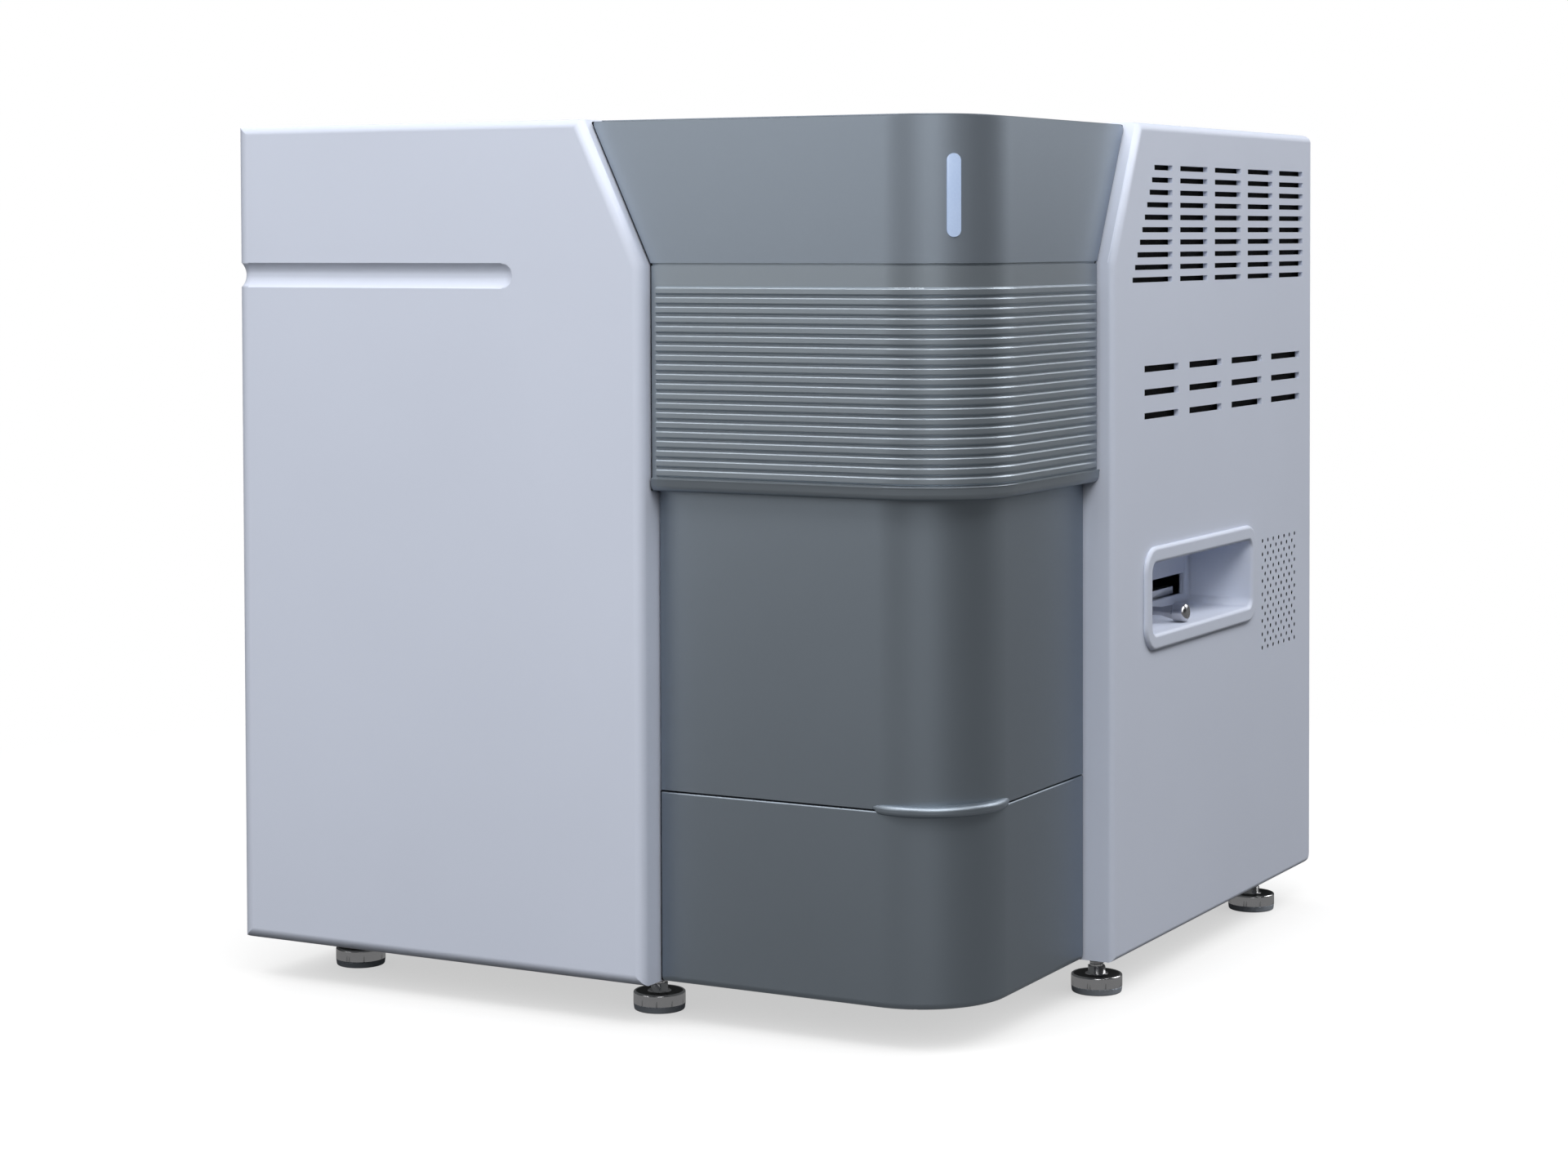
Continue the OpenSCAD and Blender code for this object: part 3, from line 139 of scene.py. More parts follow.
def edit(o, kind="FACE", where=None):
    """Edit mode on o; the faces or vertices whose centre and normal pass the test are selected, or all."""
    pick(o)
    bpy.ops.object.mode_set(mode="EDIT")
    bpy.ops.mesh.select_mode(type=kind)
    bpy.ops.mesh.select_all(action="DESELECT")
    bpy.ops.object.mode_set(mode="OBJECT")
    if kind == "FACE":
        for face in o.data.polygons:
            face.select = where is None or bool(where(face.center, face.normal))
    else:
        for vertex in o.data.vertices:
            vertex.select = where is None or bool(where(vertex.co, vertex.normal))
    bpy.ops.object.mode_set(mode="EDIT")


def done(o):
    """Back to object mode, with the place, turn and size put into the mesh."""
    pick(o)
    bpy.ops.object.transform_apply(location=True, rotation=True, scale=True)
    return o


def use(o, kind, **settings):
    """Adds a modifier with its settings and applies it."""
    pick(o)
    m = o.modifiers.new(kind.lower(), kind)
    for key, value in settings.items():
        setattr(m, key, value)
    bpy.ops.object.modifier_apply(modifier=m.name)
    return o


def soften(o, angle=30):
    """Smooth shading that keeps the edges sharper than this angle, with flat faces kept flat."""
    pick(o)
    bpy.ops.object.shade_smooth_by_angle(angle=math.radians(angle))
    use(o, "WEIGHTED_NORMAL", keep_sharp=True, weight=60)
    return o


print("helpers are ready")

# %% [markdown]
# ## Shader maths as plain expressions
# A procedural finish is a small sum: some noise, scaled and added to a base value. Writing it as
# Python keeps it readable, so a wrapped socket understands + - * / and adds a Math node for each.
# Everything else goes through one method that takes the node's type, its settings and its inputs.

# %% A socket that can be added and multiplied
OBJECT_COORDINATES = 3  # the output of Texture Coordinate
COLOUR_RESULT = 2  # the output of Mix for colours, whose inputs 6 and 7 are the two colours


class Signal:
    """A number that varies over the surface."""

    def __init__(self, finish, socket):
        self.finish, self.socket = finish, socket

    def join(self, operation, a, b):
        return self.finish.node("ShaderNodeMath", {"operation": operation}, {0: a, 1: b})

    def __add__(self, other):
        return self.join("ADD", self, other)

    def __radd__(self, other):
        return self.join("ADD", other, self)

    def __sub__(self, other):
        return self.join("SUBTRACT", self, other)

    def __rsub__(self, other):
        return self.join("SUBTRACT", other, self)

    def __mul__(self, other):
        return self.join("MULTIPLY", self, other)

    def __gt__(self, other):
        return self.join("GREATER_THAN", self, other)

    def __lt__(self, other):
        return self.join("LESS_THAN", self, other)

    def over(self, low, high):
        """0 at low and below, 1 at high and above, and straight between."""
        return self.finish.node("ShaderNodeMapRange", {"clamp": True},
                                {"Value": self, "From Min": low, "From Max": high})


class Finish:
    """A material with one Principled shader and the nodes that drive it."""

    def __init__(self, name, **constants):
        self.material = bpy.data.materials.new(name)
        self.material.use_nodes = True
        self.tree = self.material.node_tree
        self.tree.nodes.clear()
        self.shader = self.tree.nodes.new("ShaderNodeBsdfPrincipled")
        self.out = self.tree.nodes.new("ShaderNodeOutputMaterial")
        self.tree.links.new(self.shader.outputs[0], self.out.inputs["Surface"])
        for key, value in constants.items():
            self.feed(self.shader, key.replace("_", " ").title().replace("Ior", "IOR"), value)

    def feed(self, node, key, value):
        socket = node.inputs[key]
        if isinstance(value, Signal):
            self.tree.links.new(value.socket, socket)
        elif isinstance(value, tuple) and len(value) == 3 and socket.type == "RGBA":
            socket.default_value = (*value, 1)
        else:
            socket.default_value = value

    def node(self, kind, settings=None, inputs=None, output=0):
        n = self.tree.nodes.new(kind)
        for key, value in (settings or {}).items():
            setattr(n, key, value)
        for key, value in (inputs or {}).items():
            self.feed(n, key, value)
        return Signal(self, n.outputs[output])

    def drive(self, **signals):
        for key, value in signals.items():
            self.feed(self.shader, key.replace("_", " ").title(), value)

    def place(self, scale=(1, 1, 1), turn=(0, 0, 0)):
        """Object coordinates in metres, squeezed and turned by a Mapping node."""
        spot = self.node("ShaderNodeTexCoord", output=OBJECT_COORDINATES)
        return self.node("ShaderNodeMapping", {}, {"Vector": spot, "Scale": scale, "Rotation": turn})

    def noise(self, scale, detail=2.0, rough=0.5, place=None):
        """Noise from 0 to 1; scale is in bumps per metre."""
        return self.node("ShaderNodeTexNoise", {}, {
            "Vector": place or self.place(), "Scale": scale, "Detail": detail, "Roughness": rough})

    def tint(self, dark, light, signal):
        """A colour between dark and light."""
        return self.node("ShaderNodeMix", {"data_type": "RGBA"}, {0: signal, 6: dark, 7: light},
                         output=COLOUR_RESULT)

    def bump(self, height, depth):
        """height from 0 to 1 becomes a relief of depth metres."""
        return self.node("ShaderNodeBump", {}, {"Height": height, "Distance": depth, "Strength": 1.0})


def srgb(r, g, b):
    """Screen colour from 0 to 255, as the linear colour that a shader takes."""
    return tuple(round((c / 255 / 12.92) if c <= 10 else ((c / 255 + 0.055) / 1.055) ** 2.4, 4)
                 for c in (r, g, b))


def shade(colour, factor):
    """The same colour, lighter or darker."""
    return tuple(round(c * factor, 4) for c in colour)


print("white as an example:", srgb(214, 219, 229))

# %% [markdown]
# ## Painted and moulded covers
# The outer covers are smooth mouldings with a satin coat. Looked at closely, such a coat has a soft
# orange peel, about a millimetre from wave to wave, and the grey mouldings have the fine grain of a
# spark-eroded tool. Both are a bump of about a hundredth of a millimetre; larger and it would look
# like wrinkles. The colour drifts by one part in a hundred or so. Shade is painted into the colour
# inside the small holes and in the joints beside the grey covers: they are painted black, where deep shade
# falls.

# %% Cover finishes
SKIN_X = 0.25125  # the right cover's outer face
# painted shade: between these depths inwards, the hole walls are painted black
BELOW_SKIN = (0.00015, 0.006)  # from here to here inwards, the holes are black
PATCH_Y, PATCH_Z = (0.163, 0.257), (0.175, 0.265)  # the perforated patch
# the painted shade in the joints, black, follows these lines
SLANT_Z = 0.441  # from here up, the white covers' edges lean
LEFT_JOINT_X, LEFT_LEAN = 0.0378, 0.476
RIGHT_JOINT_Y, RIGHT_LEAN = -0.0846, 0.512
WHITE = (0.70, 0.75, 0.875)
LIGHT_GREY = (0.328, 0.376, 0.437)
RIB_GREY = (0.315, 0.357, 0.40)
DARK_GREY = (0.292, 0.335, 0.383)
# the black that is painted in as shade, in the holes and the joints
SHADE_BLACK = (0.008, 0.008, 0.009)
DRIFT = 0.015  # the share by which a colour drifts to either side
SMOOTH = {"roughness": 0.42, "peel_depth": 0.000010, "grain_depth": 0.000004}
GRAINED = {"roughness": 0.46, "peel_depth": 0.000008, "grain_depth": 0.000010}
RIBBED = {"roughness": 0.40, "peel_depth": 0.000006, "grain_depth": 0.000008}


def drifting(f, colour):
    """The colour with its slow drift, and the noise that makes it."""
    drift = f.noise(6, 3)
    return f.tint(shade(colour, 1 - DRIFT), shade(colour, 1 + DRIFT), drift.over(0.3, 0.7)), drift


def satin(name, colour, roughness, peel_depth, grain_depth, metallic=0.0, peel_scale=700):
    """A satin coat with orange peel and grain; the depths are in metres."""
    f = Finish(name, metallic=metallic, specular_ior_level=0.2)
    base, drift = drifting(f, colour)
    peel = f.noise(peel_scale, 2, 0.4)
    grain = f.noise(5200, 3, 0.6)
    f.drive(base_color=base,
            roughness=roughness + (peel - 0.5) * 0.05 + (drift - 0.5) * 0.04,
            normal=f.bump(peel + grain * (grain_depth / peel_depth), peel_depth))
    return f


def painted(name, colour, shade_where, metallic=0.0, **coat):
    """A satin cover with shade painted in: black where a test of the three object coordinates is 1."""
    f = satin(name, colour, metallic=metallic, **coat)
    spots = [f.node("ShaderNodeSeparateXYZ", {}, {0: f.place()}, output=i) for i in range(3)]
    # painted shade: where the test holds, the colour turns black and the metal dull
    dark = shade_where(*spots)
    f.drive(base_color=f.tint(drifting(f, colour)[0], SHADE_BLACK, dark))
    if metallic:
        f.drive(metallic=(1 - dark) * metallic)
    return f.material


def in_hole_shade(x, y, z):
    """Painted shade: the walls of the perforated patch's small holes, just below the skin."""
    shallow, deep = BELOW_SKIN
    return ((x < SKIN_X - shallow) * (x > SKIN_X - deep)
            * (y > PATCH_Y[0]) * (y < PATCH_Y[1]) * (z > PATCH_Z[0]) * (z < PATCH_Z[1]))


def in_joint_shade(x, y, z):
    """Painted shade: the joints beside the corner covers, which lean with the white covers' upper ends."""
    climb = (z - SLANT_Z) * (z > SLANT_Z)
    return ((x + climb * LEFT_LEAN) < LEFT_JOINT_X) + ((y - climb * RIGHT_LEAN) > RIGHT_JOINT_Y)


finishes = {
    "white_cover": satin("white_cover", WHITE, peel_scale=620, **SMOOTH).material,
    # the vented cover gets painted shade, black, in its small holes
    "vented_cover": painted("vented_cover", WHITE, in_hole_shade, **SMOOTH),
    "light_grey": satin("light_grey", LIGHT_GREY, metallic=0.9, **GRAINED).material,
    # the grey covers get painted shade, black, in the joints beside them
    "fascia_grey": painted("fascia_grey", LIGHT_GREY, in_joint_shade, metallic=0.9, **GRAINED),
    "rib_grey": painted("rib_grey", RIB_GREY, in_joint_shade, metallic=0.75, **RIBBED),
    "lower_grey": painted("lower_grey", DARK_GREY, in_joint_shade, metallic=0.97, **GRAINED),
    "dark_grey": satin("dark_grey", DARK_GREY, metallic=0.97, **GRAINED).material,
}
print(sorted(finishes))

# %% [markdown]
# ## Metals, rubber and the parts inside
# Brushed and extruded metal shows fine lines along one direction, which is noise squeezed hard
# across that direction. Polished steel is smooth, with faint wipe marks. Rubber has a dry, dusty
# grain. A circuit board is green laminate with lighter lines, which the mortar of a brick pattern
# gives.

# %% Metal finishes
LINED_BUMP, PLAIN_BUMP = 0.000012, 0.000002


def metal(name, colour, roughness, lines=0.0, stretch=(1, 1, 60), wipe=0.05):
    """Metal whose roughness varies by lines along the grain and by wipe in smudges."""
    f = Finish(name, metallic=1.0)
    brushed = f.noise(45, 4, 0.7, f.place(scale=stretch))
    smudge = f.noise(38, 3)
    f.drive(base_color=f.tint(shade(colour, 0.93), colour, brushed.over(0.25, 0.75)),
            roughness=roughness + (smudge - 0.5) * wipe + (brushed - 0.5) * lines,
            normal=f.bump(brushed, LINED_BUMP if lines else PLAIN_BUMP))
    return f.material


finishes.update({
    "sheet_steel": metal("sheet_steel", srgb(186, 190, 192), 0.42, lines=0.10, stretch=(1, 30, 1)),
    "bench_aluminium": metal("bench_aluminium", srgb(205, 207, 210), 0.34, lines=0.12,
                             stretch=(1, 40, 1)),
    "black_aluminium": metal("black_aluminium", srgb(58, 60, 64), 0.38, lines=0.08, stretch=(30, 1, 1)),
    "bright_steel": metal("bright_steel", srgb(222, 222, 224), 0.20, wipe=0.10),
    "pin_steel": metal("pin_steel", srgb(188, 188, 192), 0.24, wipe=0.10),
    "brass_fitting": metal("brass_fitting", srgb(206, 204, 196), 0.22, wipe=0.10),
})
print(sorted(finishes))

# %% Rubber, plastics, glass and board
def moulded(name, colour, roughness, grain, depth, **constants):
    """A plain moulding or rubber; grain is in bumps per metre and depth in metres."""
    f = Finish(name, **constants)
    fine = f.noise(grain, 3, 0.6)
    cloud = f.noise(22, 3)
    f.drive(base_color=f.tint(shade(colour, 0.92), shade(colour, 1.06), cloud.over(0.3, 0.7)),
            roughness=roughness + (cloud - 0.5) * 0.08,
            normal=f.bump(fine, depth))
    return f.material


def laminate():
    """The circuit board."""
    f = Finish("board", coat_weight=0.5, coat_roughness=0.15)
    across = f.node("ShaderNodeTexBrick", {"offset": 0.37, "squash": 0.6}, {
        "Vector": f.place(turn=(0, math.pi / 2, 0)), "Scale": 60.0, "Mortar Size": 0.018,
        "Color1": (0.012, 0.10, 0.045), "Color2": (0.016, 0.12, 0.055), "Mortar": (0.05, 0.26, 0.11)})
    f.drive(base_color=across, roughness=0.42 + f.noise(300) * 0.1)
    return f.material


finishes.update({
    "foot_rubber": moulded("foot_rubber", srgb(150, 156, 165), 0.78, 2600, 0.00002),
    "black_plastic": moulded("black_plastic", srgb(34, 35, 37), 0.5, 3000, 0.00001),
    "rack_plastic": moulded("rack_plastic", srgb(222, 224, 226), 0.4, 1500, 0.000006,
                            subsurface_weight=0.1, subsurface_scale=0.002),
    # a near-black sheet material that stands in for the shade behind the openings
    "shade_black": moulded("shade_black", srgb(9, 9, 10), 0.95, 700, 0.0004),
    "board": laminate(),
})


def lens_finish():
    """A frosted bar that is lit from behind, a little unevenly."""
    f = Finish("light_lens", coat_weight=0.6, coat_roughness=0.12, emission_strength=0.45)
    frost = f.noise(900, 2)
    f.drive(base_color=f.tint(srgb(140, 155, 180), srgb(156, 170, 190), frost),
            roughness=0.35 + frost * 0.1,
            emission_color=f.tint(srgb(172, 196, 236), srgb(190, 210, 244), f.noise(60, 2)))
    return f.material


finishes["light_lens"] = lens_finish()
print(sorted(finishes))

# %% [markdown]
# ## Smooth covers from the frame's solids
# The frame's covers have the right shape, but they come in as loose triangles with flat facets. A
# copy with its doubles merged, shaded smooth below thirty degrees, and with the large flat faces
# leading the shading, looks like a moulding. The copy stands for its node and rides on the same
# body, so the frame itself is left as it is.

# %% Dress every node
FINISH_OF_NODE = {"ribbed_cover": "rib_grey", "right_cover": "vented_cover", "top_fascia": "fascia_grey",
                  "lower_cover": "lower_grey", "pull_pin": "pin_steel"}
SAME_SPOT = 2e-6  # metres between doubles
made = {}


def dress(name):
    """A smooth copy of the node, with its finish, in the node's place."""
    source = nodes[name]
    o = source.copy()
    o.data = source.data.copy()
    for key in list(o.keys()):
        del o[key]
    o.parent = None
    o.name = o.data.name = name + "_finished"
    scene.collection.objects.link(o)
    edit(o, "VERT")
    bpy.ops.mesh.remove_doubles(threshold=SAME_SPOT)
    soften(o, 32)
    o.data.materials.clear()
    o.data.materials.append(finishes[FINISH_OF_NODE.get(name, slot_of_node[name])])
    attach(o, body_of_node[name])
    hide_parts(name)
    made[name] = o


for name in sorted(nodes):
    dress(name)
print(len(made), "nodes have a smooth, finished copy")

# %% [markdown]
# ## Crisp flats and even roundings
# A weighted normal is still pulled aside where long, thin triangles meet. On the covers, a flat
# face should keep its own normal exactly, and a rounding that runs along an axis should only turn
# about that axis. Both can be worked out from the faces around each vertex, and are then stored as
# the mesh's own normals.

# %% Crisp flats
SQUARE_ON = 0.02  # a normal has no part along an axis below this
ALIKE = 0.85  # two normals belong to one rounding when their product is above this
CRISP = ["left_cover", "right_cover", "top_fascia", "ribbed_cover", "lower_cover", "sample_door", "top_lid",
         "rear_panel", "power_supply", "optical_deck", "frame", "floor_pan"]


def crisp(o):
    """Flat faces keep their own normal, and each rounding along an axis is smoothed across itself alone."""
    mesh = o.data
    around = [[] for _ in mesh.vertices]
    for face in mesh.polygons:
        for v in face.vertices:
            around[v].append(face.index)
    normals = [face.normal.copy() for face in mesh.polygons]
    along = [[a for a in range(3) if abs(n[a]) < SQUARE_ON] for n in normals]
    directions = [c.vector.copy() for c in mesh.corner_normals]
    for face in mesh.polygons:
        own = normals[face.index]
        for loop, v in zip(face.loop_indices, face.vertices):
            if len(along[face.index]) == 2:
                directions[loop] = own
            elif len(along[face.index]) == 1:
                axis = along[face.index][0]
                near = [q for q in around[v] if axis in along[q] and normals[q].dot(own) > ALIKE]
                flats = [q for q in near if len(along[q]) == 2]
                if flats:
                    directions[loop] = normals[max(flats, key=lambda q: mesh.polygons[q].area)]
                else:
                    faces = {tuple(round(c, 3) for c in normals[q]): normals[q] for q in near}
                    directions[loop] = sum(faces.values(), Vector()).normalized()
    mesh.normals_split_custom_set(directions)


# %% [markdown]
# ## The corner covers
# Four covers follow the same rounded corner, and the direction there is known: it points away from
# the corner's upright axis, or straight out on the two flats. A face's own tilt up or down is kept,
# so that ribs and lips still shade as they should. Only the small bevel along the top edge is
# shaded like the wall below it, without a highlight of its own.

# %% True normals round the corner
CORNER_R = 0.055
FRONT_Y = cad_box[0][1]
TOP_EDGE_Z = 0.5195
FACING = 0.95  # a face belongs to the sweep when it looks this much along its direction
STEEPEST = 0.98
CORNER_INSET = {"top_fascia": 0.010, "ribbed_cover": 0.010, "lower_cover": 0.019, "sample_door": 0.019}


def true_corner(o, inset):
    """Turns the normals of the sweep round the corner to their true direction, and counts them."""
    axis_x, axis_y = SKIN_X - inset - CORNER_R, FRONT_Y + inset + CORNER_R
    mesh = o.data
    directions = [c.vector.copy() for c in mesh.corner_normals]
    turned = 0
    for face in mesh.polygons:
        facing = Vector((face.normal.x, face.normal.y, 0))
        if facing.length < 0.05:
            continue
        for loop, v in zip(face.loop_indices, face.vertices):
            co = mesh.vertices[v].co
            if co.x <= axis_x + 1e-6:
                out = Vector((0, -1, 0))
            elif co.y >= axis_y - 1e-6:
                out = Vector((1, 0, 0))
            else:
                out = Vector((co.x - axis_x, co.y - axis_y, 0)).normalized()
            if facing.normalized().dot(out) > FACING:
                top_bevel = face.center.z > TOP_EDGE_Z and face.normal.z < 0.9
                upright = abs(face.normal.z) < 0.001 or top_bevel
                tilt = 0 if upright else max(-STEEPEST, min(STEEPEST, directions[loop].z))
                directions[loop] = out * math.sqrt(1 - tilt * tilt) + Vector((0, 0, tilt))
                turned += 1
    mesh.normals_split_custom_set(directions)
    return turned


def squeezed(o, low, middle, high, new_middle):
    """Stretches the band from low to middle and squeezes that from middle to high, so that middle moves."""
    near = 1e-5
    for start, end, anchor, factor in ((low, middle, low, (new_middle - low) / (middle - low)),
                                       (middle, high, high, (high - new_middle) / (high - middle))):
        edit(o, "VERT", lambda c, n: start + near < c.z < end - near
             or (anchor == low and abs(c.z - middle) < near))
        bpy.ops.transform.resize(value=(1, 1, factor), center_override=(0, 0, anchor))
        bpy.ops.object.mode_set(mode="OBJECT")


# the rolled lip is fullest near its upper side and draws in towards its lower edge
squeezed(made["ribbed_cover"], low=0.311, middle=0.315, high=0.319, new_middle=0.3178)
for name in CRISP:
    crisp(made[name])
for name, inset in CORNER_INSET.items():
    print(name, true_corner(made[name], inset), "normals follow the corner")

# %% [markdown]
# ## Black sheets behind the openings, as painted shade
# Two black sheets stand just behind the right cover, so that the vents and the perforated patch
# look dark there, as deep shade would leave them. They are cut from a cube, and the upper one
# leans at its front, as the cover does.

# %% Black sheets that stand in for shade
def fixed(o, material, body="chassis"):
    """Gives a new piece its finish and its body."""
    o.data.materials.clear()
    o.data.materials.append(finishes[material])
    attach(o, body)
    return o


def sheet(name, low, high, lean=0.0):
    """A sheet between two corners; its upper front edge moves back by lean."""
    bpy.ops.mesh.primitive_cube_add(size=1, location=[(a + b) / 2 for a, b in zip(low, high)])
    o = added(name)
    o.scale = [b - a for a, b in zip(low, high)]
    done(o)
    if lean:
        edit(o, "VERT", lambda c, n: c.z > high[2] - 1e-4 and c.y < low[1] + 1e-4)
        bpy.ops.transform.translate(value=(0, lean, 0))
    use(o, "BEVEL", width=0.0006, segments=2)
    fixed(o, "shade_black")


# black sheets that paint shade into the vents and the perforated patch
SHADE_SHEET_X = (0.2415, 0.2458)  # the two faces of both sheets
sheet("vent_shade_sheet", (SHADE_SHEET_X[0], -0.061, 0.338), (SHADE_SHEET_X[1], 0.2605, 0.508), lean=0.032)
sheet("patch_shade_sheet", (SHADE_SHEET_X[0], 0.166, 0.172), (SHADE_SHEET_X[1], 0.250, 0.266))
print("two foam sheets")

# %% [markdown]
# ## Levelling feet
# Each foot's stud carries a fine thread: a small tooth that the Screw modifier winds upwards. A
# black plastic ring lies on top of the disc, a short cylinder whose two ends are inset and bridged
# into a hole.

# %% Threads and rings
FEET = {body_of_node["foot_" + n]: nodes["foot_" + n] for n in
        ("front_left", "front_middle", "right_front", "right_rear", "left_rear")}
STUD_R, PITCH = 0.004, 0.00125
TOOTH, ROOT = 0.00045, 0.0001  # how far the tooth stands out, and how deep it starts
THREAD_Z, TURNS = 0.0156, 5
RING_Z, RING_H = 0.0100, 0.0009
RING_OUTER, RING_INNER = 0.0139, 0.0071


def middle_of(o):
    """The middle of a piece, seen from above."""
    xs = [v.co.x for v in o.data.vertices]
    ys = [v.co.y for v in o.data.vertices]
    return (min(xs) + max(xs)) / 2, (min(ys) + max(ys)) / 2


def thread(name, x, y, low, turns):
    """A helical tooth on the stud, from low upwards."""
    bpy.ops.mesh.primitive_plane_add(size=1)
    o = added(name)
    pick(o)
    bpy.ops.object.mode_set(mode="EDIT")
    bpy.ops.mesh.select_mode(type="VERT")
    bpy.ops.mesh.select_all(action="SELECT")
    bpy.ops.mesh.merge(type="CENTER")
    bpy.ops.transform.translate(value=(STUD_R - ROOT, 0, 0))
    bpy.ops.mesh.extrude_vertices_move(TRANSFORM_OT_translate={"value": (TOOTH, 0, PITCH * 0.4)})
    bpy.ops.mesh.extrude_vertices_move(TRANSFORM_OT_translate={"value": (-TOOTH, 0, PITCH * 0.4)})
    use(o, "SCREW", screw_offset=PITCH, iterations=turns, steps=24, render_steps=24, axis="Z")
    o.location = (x, y, low)
    done(o)
    edit(o)
    bpy.ops.mesh.select_all(action="SELECT")
    bpy.ops.mesh.normals_make_consistent(inside=False)
    bpy.ops.object.mode_set(mode="OBJECT")
    return soften(o, 50)


def ring(name, x, y, low, outer, inner, height):
    """A flat ring with rounded edges."""
    bpy.ops.mesh.primitive_cylinder_add(vertices=48, radius=outer, depth=height,
                                        location=(x, y, low + height / 2))
    o = done(added(name))
    edit(o, "FACE", lambda c, n: abs(n.z) > 0.9)
    bpy.ops.mesh.inset(thickness=outer - inner)
    bpy.ops.mesh.bridge_edge_loops()
    bpy.ops.object.mode_set(mode="OBJECT")
    use(o, "BEVEL", width=0.0002, segments=2, limit_method="ANGLE")
    return soften(o, 35)


for body, foot in FEET.items():
    x, y = middle_of(foot)
    fixed(thread(body + "_thread", x, y, THREAD_Z, TURNS), "bright_steel", body)
    fixed(ring(body + "_ring", x, y, RING_Z, RING_OUTER, RING_INNER, RING_H), "black_plastic", body)
print(len(FEET), "feet have a thread and a ring")

# %% [markdown]
# ## Screws
# One screw head with a round recess is modelled and then copied: at the fans' corners and down both
# sides of the rear panel. The heads are sunk, so that they stand only a little proud of the panel.

# %% One screw, many copies
HEAD_R, HEAD_H = 0.0036, 0.0024
RECESS_R, RECESS_DEPTH = 0.0018, 0.0014
SCREW_SUNK = 0.0018
REAR_Y = cad_box[1][1]
TO_REAR = (-math.pi / 2, 0, 0)
COLUMN_X, COLUMN_Z = (-0.236, 0.218), (0.05, 0.19, 0.33, 0.5)
FAN_HOLE = 0.0525  # from a fan's middle to its corner holes, both ways
FAN_X, FAN_Z = (-0.14975, 0.14825), 0.410


def screw_head(name):
    """A head that looks up, with its underside at the origin."""
    bpy.ops.mesh.primitive_cylinder_add(vertices=32, radius=HEAD_R, depth=HEAD_H,
                                        location=(0, 0, HEAD_H / 2))
    o = done(added(name))
    edit(o, "FACE", lambda c, n: n.z > 0.9)
    bpy.ops.mesh.inset(thickness=HEAD_R - RECESS_R)
    bpy.ops.mesh.extrude_region_move(TRANSFORM_OT_translate={"value": (0, 0, -RECESS_DEPTH)})
    bpy.ops.object.mode_set(mode="OBJECT")
    use(o, "BEVEL", width=0.0005, segments=3, limit_method="ANGLE")
    return soften(o, 40)


def turned_copy(o, name, place, turn):
    """A copy with a mesh of its own, its place and its turn in that mesh."""
    c = o.copy()
    c.data = o.data.copy()
    c.name = c.data.name = name
    scene.collection.objects.link(c)
    c.location, c.rotation_euler = place, turn
    fixed(done(c), "bright_steel", "chassis")


pattern = screw_head("screw_pattern")
rear_spots = [(x, z) for x in COLUMN_X for z in COLUMN_Z]
rear_spots += [(x + i * FAN_HOLE, FAN_Z + j * FAN_HOLE) for x in FAN_X for i in (-1, 1) for j in (-1, 1)]
for i, (x, z) in enumerate(rear_spots):
    turned_copy(pattern, f"rear_screw_{i}", (x, REAR_Y - SCREW_SUNK, z), TO_REAR)
bpy.data.objects.remove(pattern)
print(len(rear_spots), "screws")

# %% [markdown]
# ## The studio
# A product on white. To the camera the floor and the room are white, but near the machine the floor
# still takes its shadow: the lamps' own shadow on a slightly matt, glowing floor, and a contact
# shadow from ambient occlusion, which is darkest under the lower edges. The covers get very little
# light back from the floor, so they shade off downwards, and polished metal sees it as a dim grey.

# %% Floor and backdrop
FLOOR_SIZE = 60
FLOOR_GLOW, FLOOR_TONE = 0.86, 0.22
FLOOR_RETURN = 0.05
FLOOR_SHEEN = 0.22
FADE_FROM, FADE_TO = 0.62, 1.05  # metres from the middle of the machine
CONTACT_REACH = 0.14
CONTACT_SOFT, CONTACT_HARD, CONTACT_EASE = 0.15, 0.34, 1.3
ROOM_LIGHT = 0.04


def diffuse(tree, tone):
    n = tree.nodes.new("ShaderNodeBsdfDiffuse")
    n.inputs["Color"].default_value = (tone, tone, tone, 1)
    return n


def emission(tree, strength):
    n = tree.nodes.new("ShaderNodeEmission")
    n.inputs["Strength"].default_value = strength
    return n


def mixed(f, factor, first, second):
    """first where the factor is 0 and second where it is 1."""
    n = f.tree.nodes.new("ShaderNodeMixShader")
    f.feed(n, "Fac", factor)
    f.tree.links.new(first.outputs[0], n.inputs[1])
    f.tree.links.new(second.outputs[0], n.inputs[2])
    return n


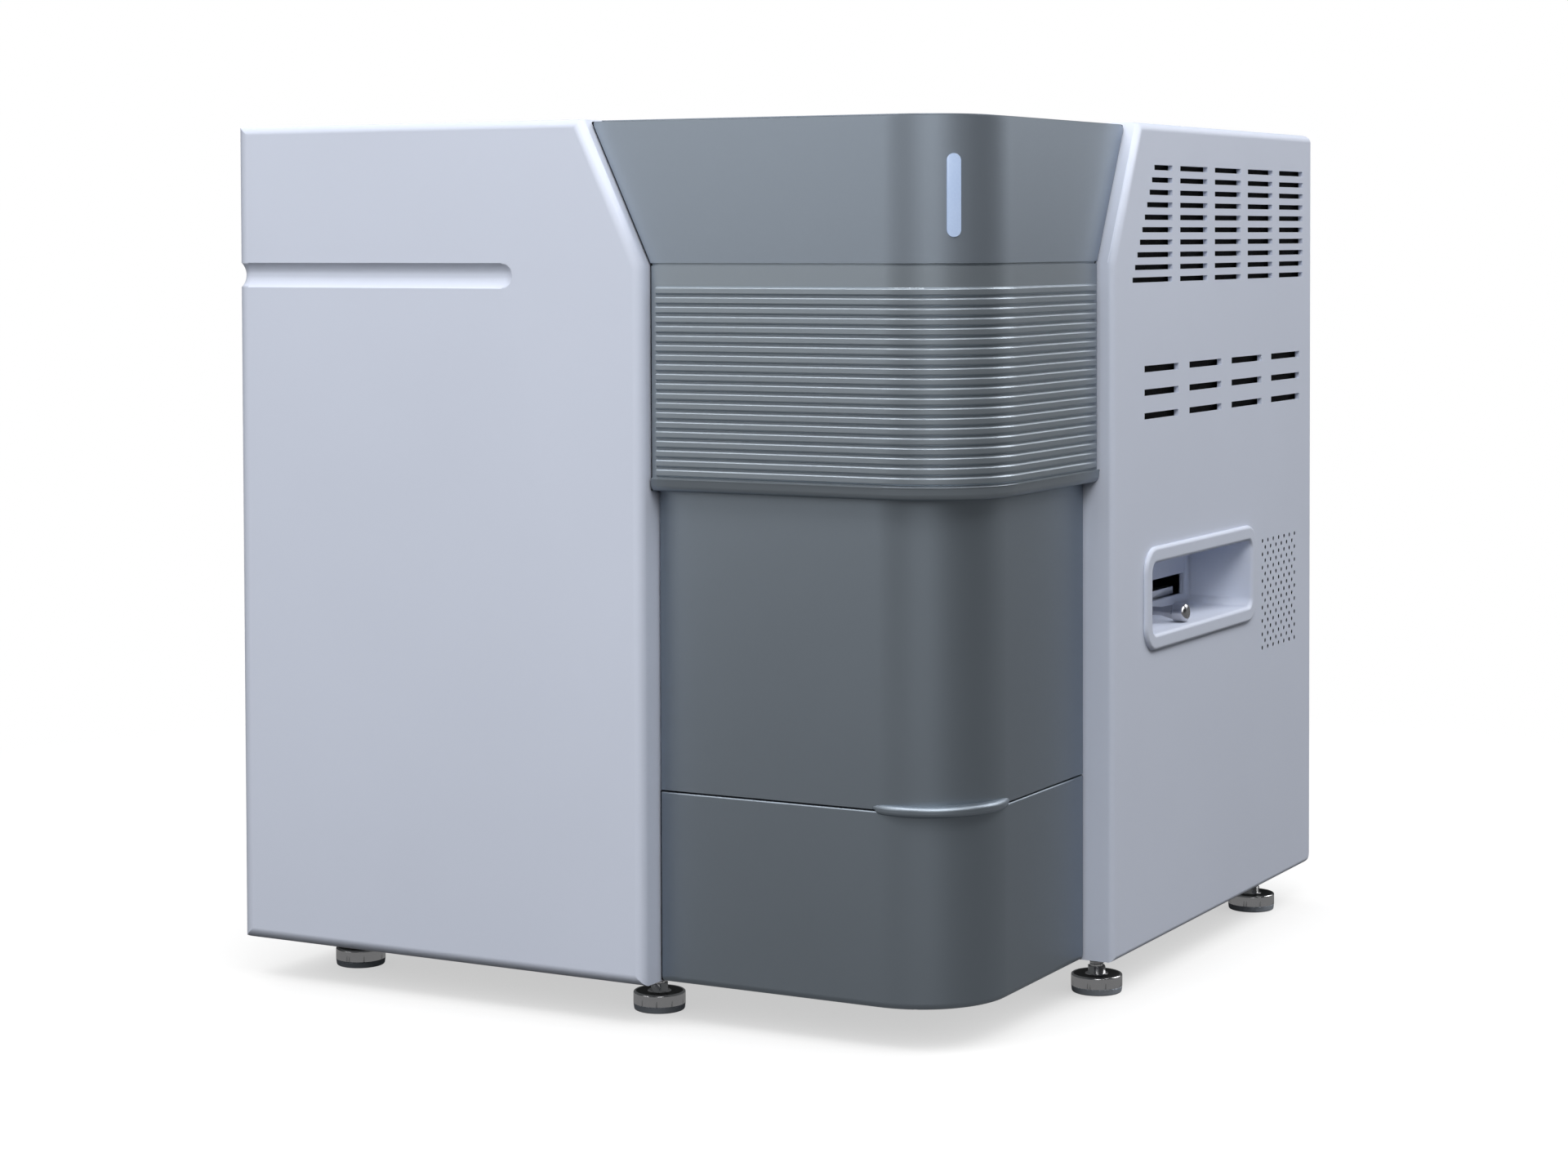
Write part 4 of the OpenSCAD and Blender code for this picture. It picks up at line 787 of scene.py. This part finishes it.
def studio_floor():
    """A matt floor that looks white, and pure white from a metre or so away from the machine."""
    f = Finish("studio_floor")
    tree = f.tree
    path = tree.nodes.new("ShaderNodeLightPath")
    seen, mirrored, glossy = (Signal(f, path.outputs[ray]) for ray in
                              ("Is Camera Ray", "Is Transmission Ray", "Is Glossy Ray"))
    lifted = tree.nodes.new("ShaderNodeAddShader")
    tree.links.new(diffuse(tree, FLOOR_TONE).outputs[0], lifted.inputs[0])
    tree.links.new(emission(tree, FLOOR_GLOW).outputs[0], lifted.inputs[1])
    away = f.node("ShaderNodeVectorMath", {"operation": "LENGTH"}, {0: f.place()}, output=1)
    faded = mixed(f, away.over(FADE_FROM, FADE_TO), lifted, emission(tree, 1))
    # the soft contact shadow close to the feet and under the lower edges
    opened = f.node("ShaderNodeAmbientOcclusion", {"samples": 16}, {"Distance": CONTACT_REACH}, output=1)
    shut = 1 - opened
    contact = (shut * (CONTACT_SOFT + shut * CONTACT_HARD)).over(0, CONTACT_EASE)
    grounded = mixed(f, contact, faded, emission(tree, 0))
    # what the covers and polished metal get from the floor
    given = mixed(f, glossy, diffuse(tree, FLOOR_RETURN), emission(tree, FLOOR_SHEEN))
    last = mixed(f, (seen + mirrored).over(0, 1), given, grounded)
    tree.links.new(last.outputs[0], f.out.inputs["Surface"])
    tree.nodes.remove(f.shader)
    return f.material


let_go()
bpy.ops.mesh.primitive_plane_add(size=FLOOR_SIZE, location=(0, 0, 0))
floor = added("floor")
floor.data.materials.append(studio_floor())

world = bpy.data.worlds.new("studio")
scene.world = world
world.use_nodes = True
sky = world.node_tree
sky.nodes.clear()
room = sky.nodes.new("ShaderNodeBackground")
room.inputs["Color"].default_value = (0.93, 0.96, 1.0, 1)
room.inputs["Strength"].default_value = ROOM_LIGHT
backdrop = sky.nodes.new("ShaderNodeBackground")
backdrop.inputs["Color"].default_value = (1, 1, 1, 1)
backdrop.inputs["Strength"].default_value = 1.0
rays = sky.nodes.new("ShaderNodeLightPath")
choose = sky.nodes.new("ShaderNodeMixShader")
sky_out = sky.nodes.new("ShaderNodeOutputWorld")
either = sky.nodes.new("ShaderNodeMath")
either.operation = "MAXIMUM"
sky.links.new(rays.outputs["Is Camera Ray"], either.inputs[0])
sky.links.new(rays.outputs["Is Transmission Ray"], either.inputs[1])
sky.links.new(either.outputs[0], choose.inputs["Fac"])
sky.links.new(room.outputs[0], choose.inputs[1])
sky.links.new(backdrop.outputs[0], choose.inputs[2])
sky.links.new(choose.outputs[0], sky_out.inputs["Surface"])
scene.view_settings.view_transform = "Standard"
print("floor and room are white")

# %% [markdown]
# ## Eight soft lamps
# The front lamps light the left cover and the two flats of the grey covers: a low one on the left,
# a weaker one on the right, a wide bank high up, and one high on the right. The right side is lit
# from above and from behind. The rounded corner looks between the two groups, so it falls darker
# than the flats and reads as round. A last lamp on the rear left lights the sides that the camera
# doesn't see at rest.

# %% Lamps
LAMP_AIM = Vector((0, 0, 0.3))
LAMPS = [  # name, place, size, watts
    ("front left", (-1.5, -2.7, 1.4), (1.4, 1.9), 18),
    ("front right", (1.6, -2.6, 1.5), (1.4, 1.6), 14),
    ("front bank", (-0.6, -1.9, 3.1), (2.4, 1.1), 63),
    ("high right", (1.5, -1.8, 2.6), (1.3, 1.2), 32),
    ("over right", (1.3, -0.5, 2.1), (1.2, 1.2), 15),
    ("high rear", (1.7, 2.0, 2.3), (1.6, 1.4), 34),
    ("rear right", (1.9, 2.3, 1.4), (1.6, 1.6), 13),
    ("rear left", (-2.3, 1.4, 2.0), (1.4, 1.4), 14),
]


def softbox(name, place, size, power):
    """A rectangular lamp that faces the machine."""
    light = bpy.data.lights.new(name, "AREA")
    light.shape = "RECTANGLE"
    light.size, light.size_y = size
    light.energy = power
    o = bpy.data.objects.new(name, light)
    scene.collection.objects.link(o)
    o.location = place
    o.rotation_euler = (LAMP_AIM - Vector(place)).to_track_quat("-Z", "Y").to_euler()


for lamp in LAMPS:
    softbox(*lamp)
print(len(LAMPS), "lamps")
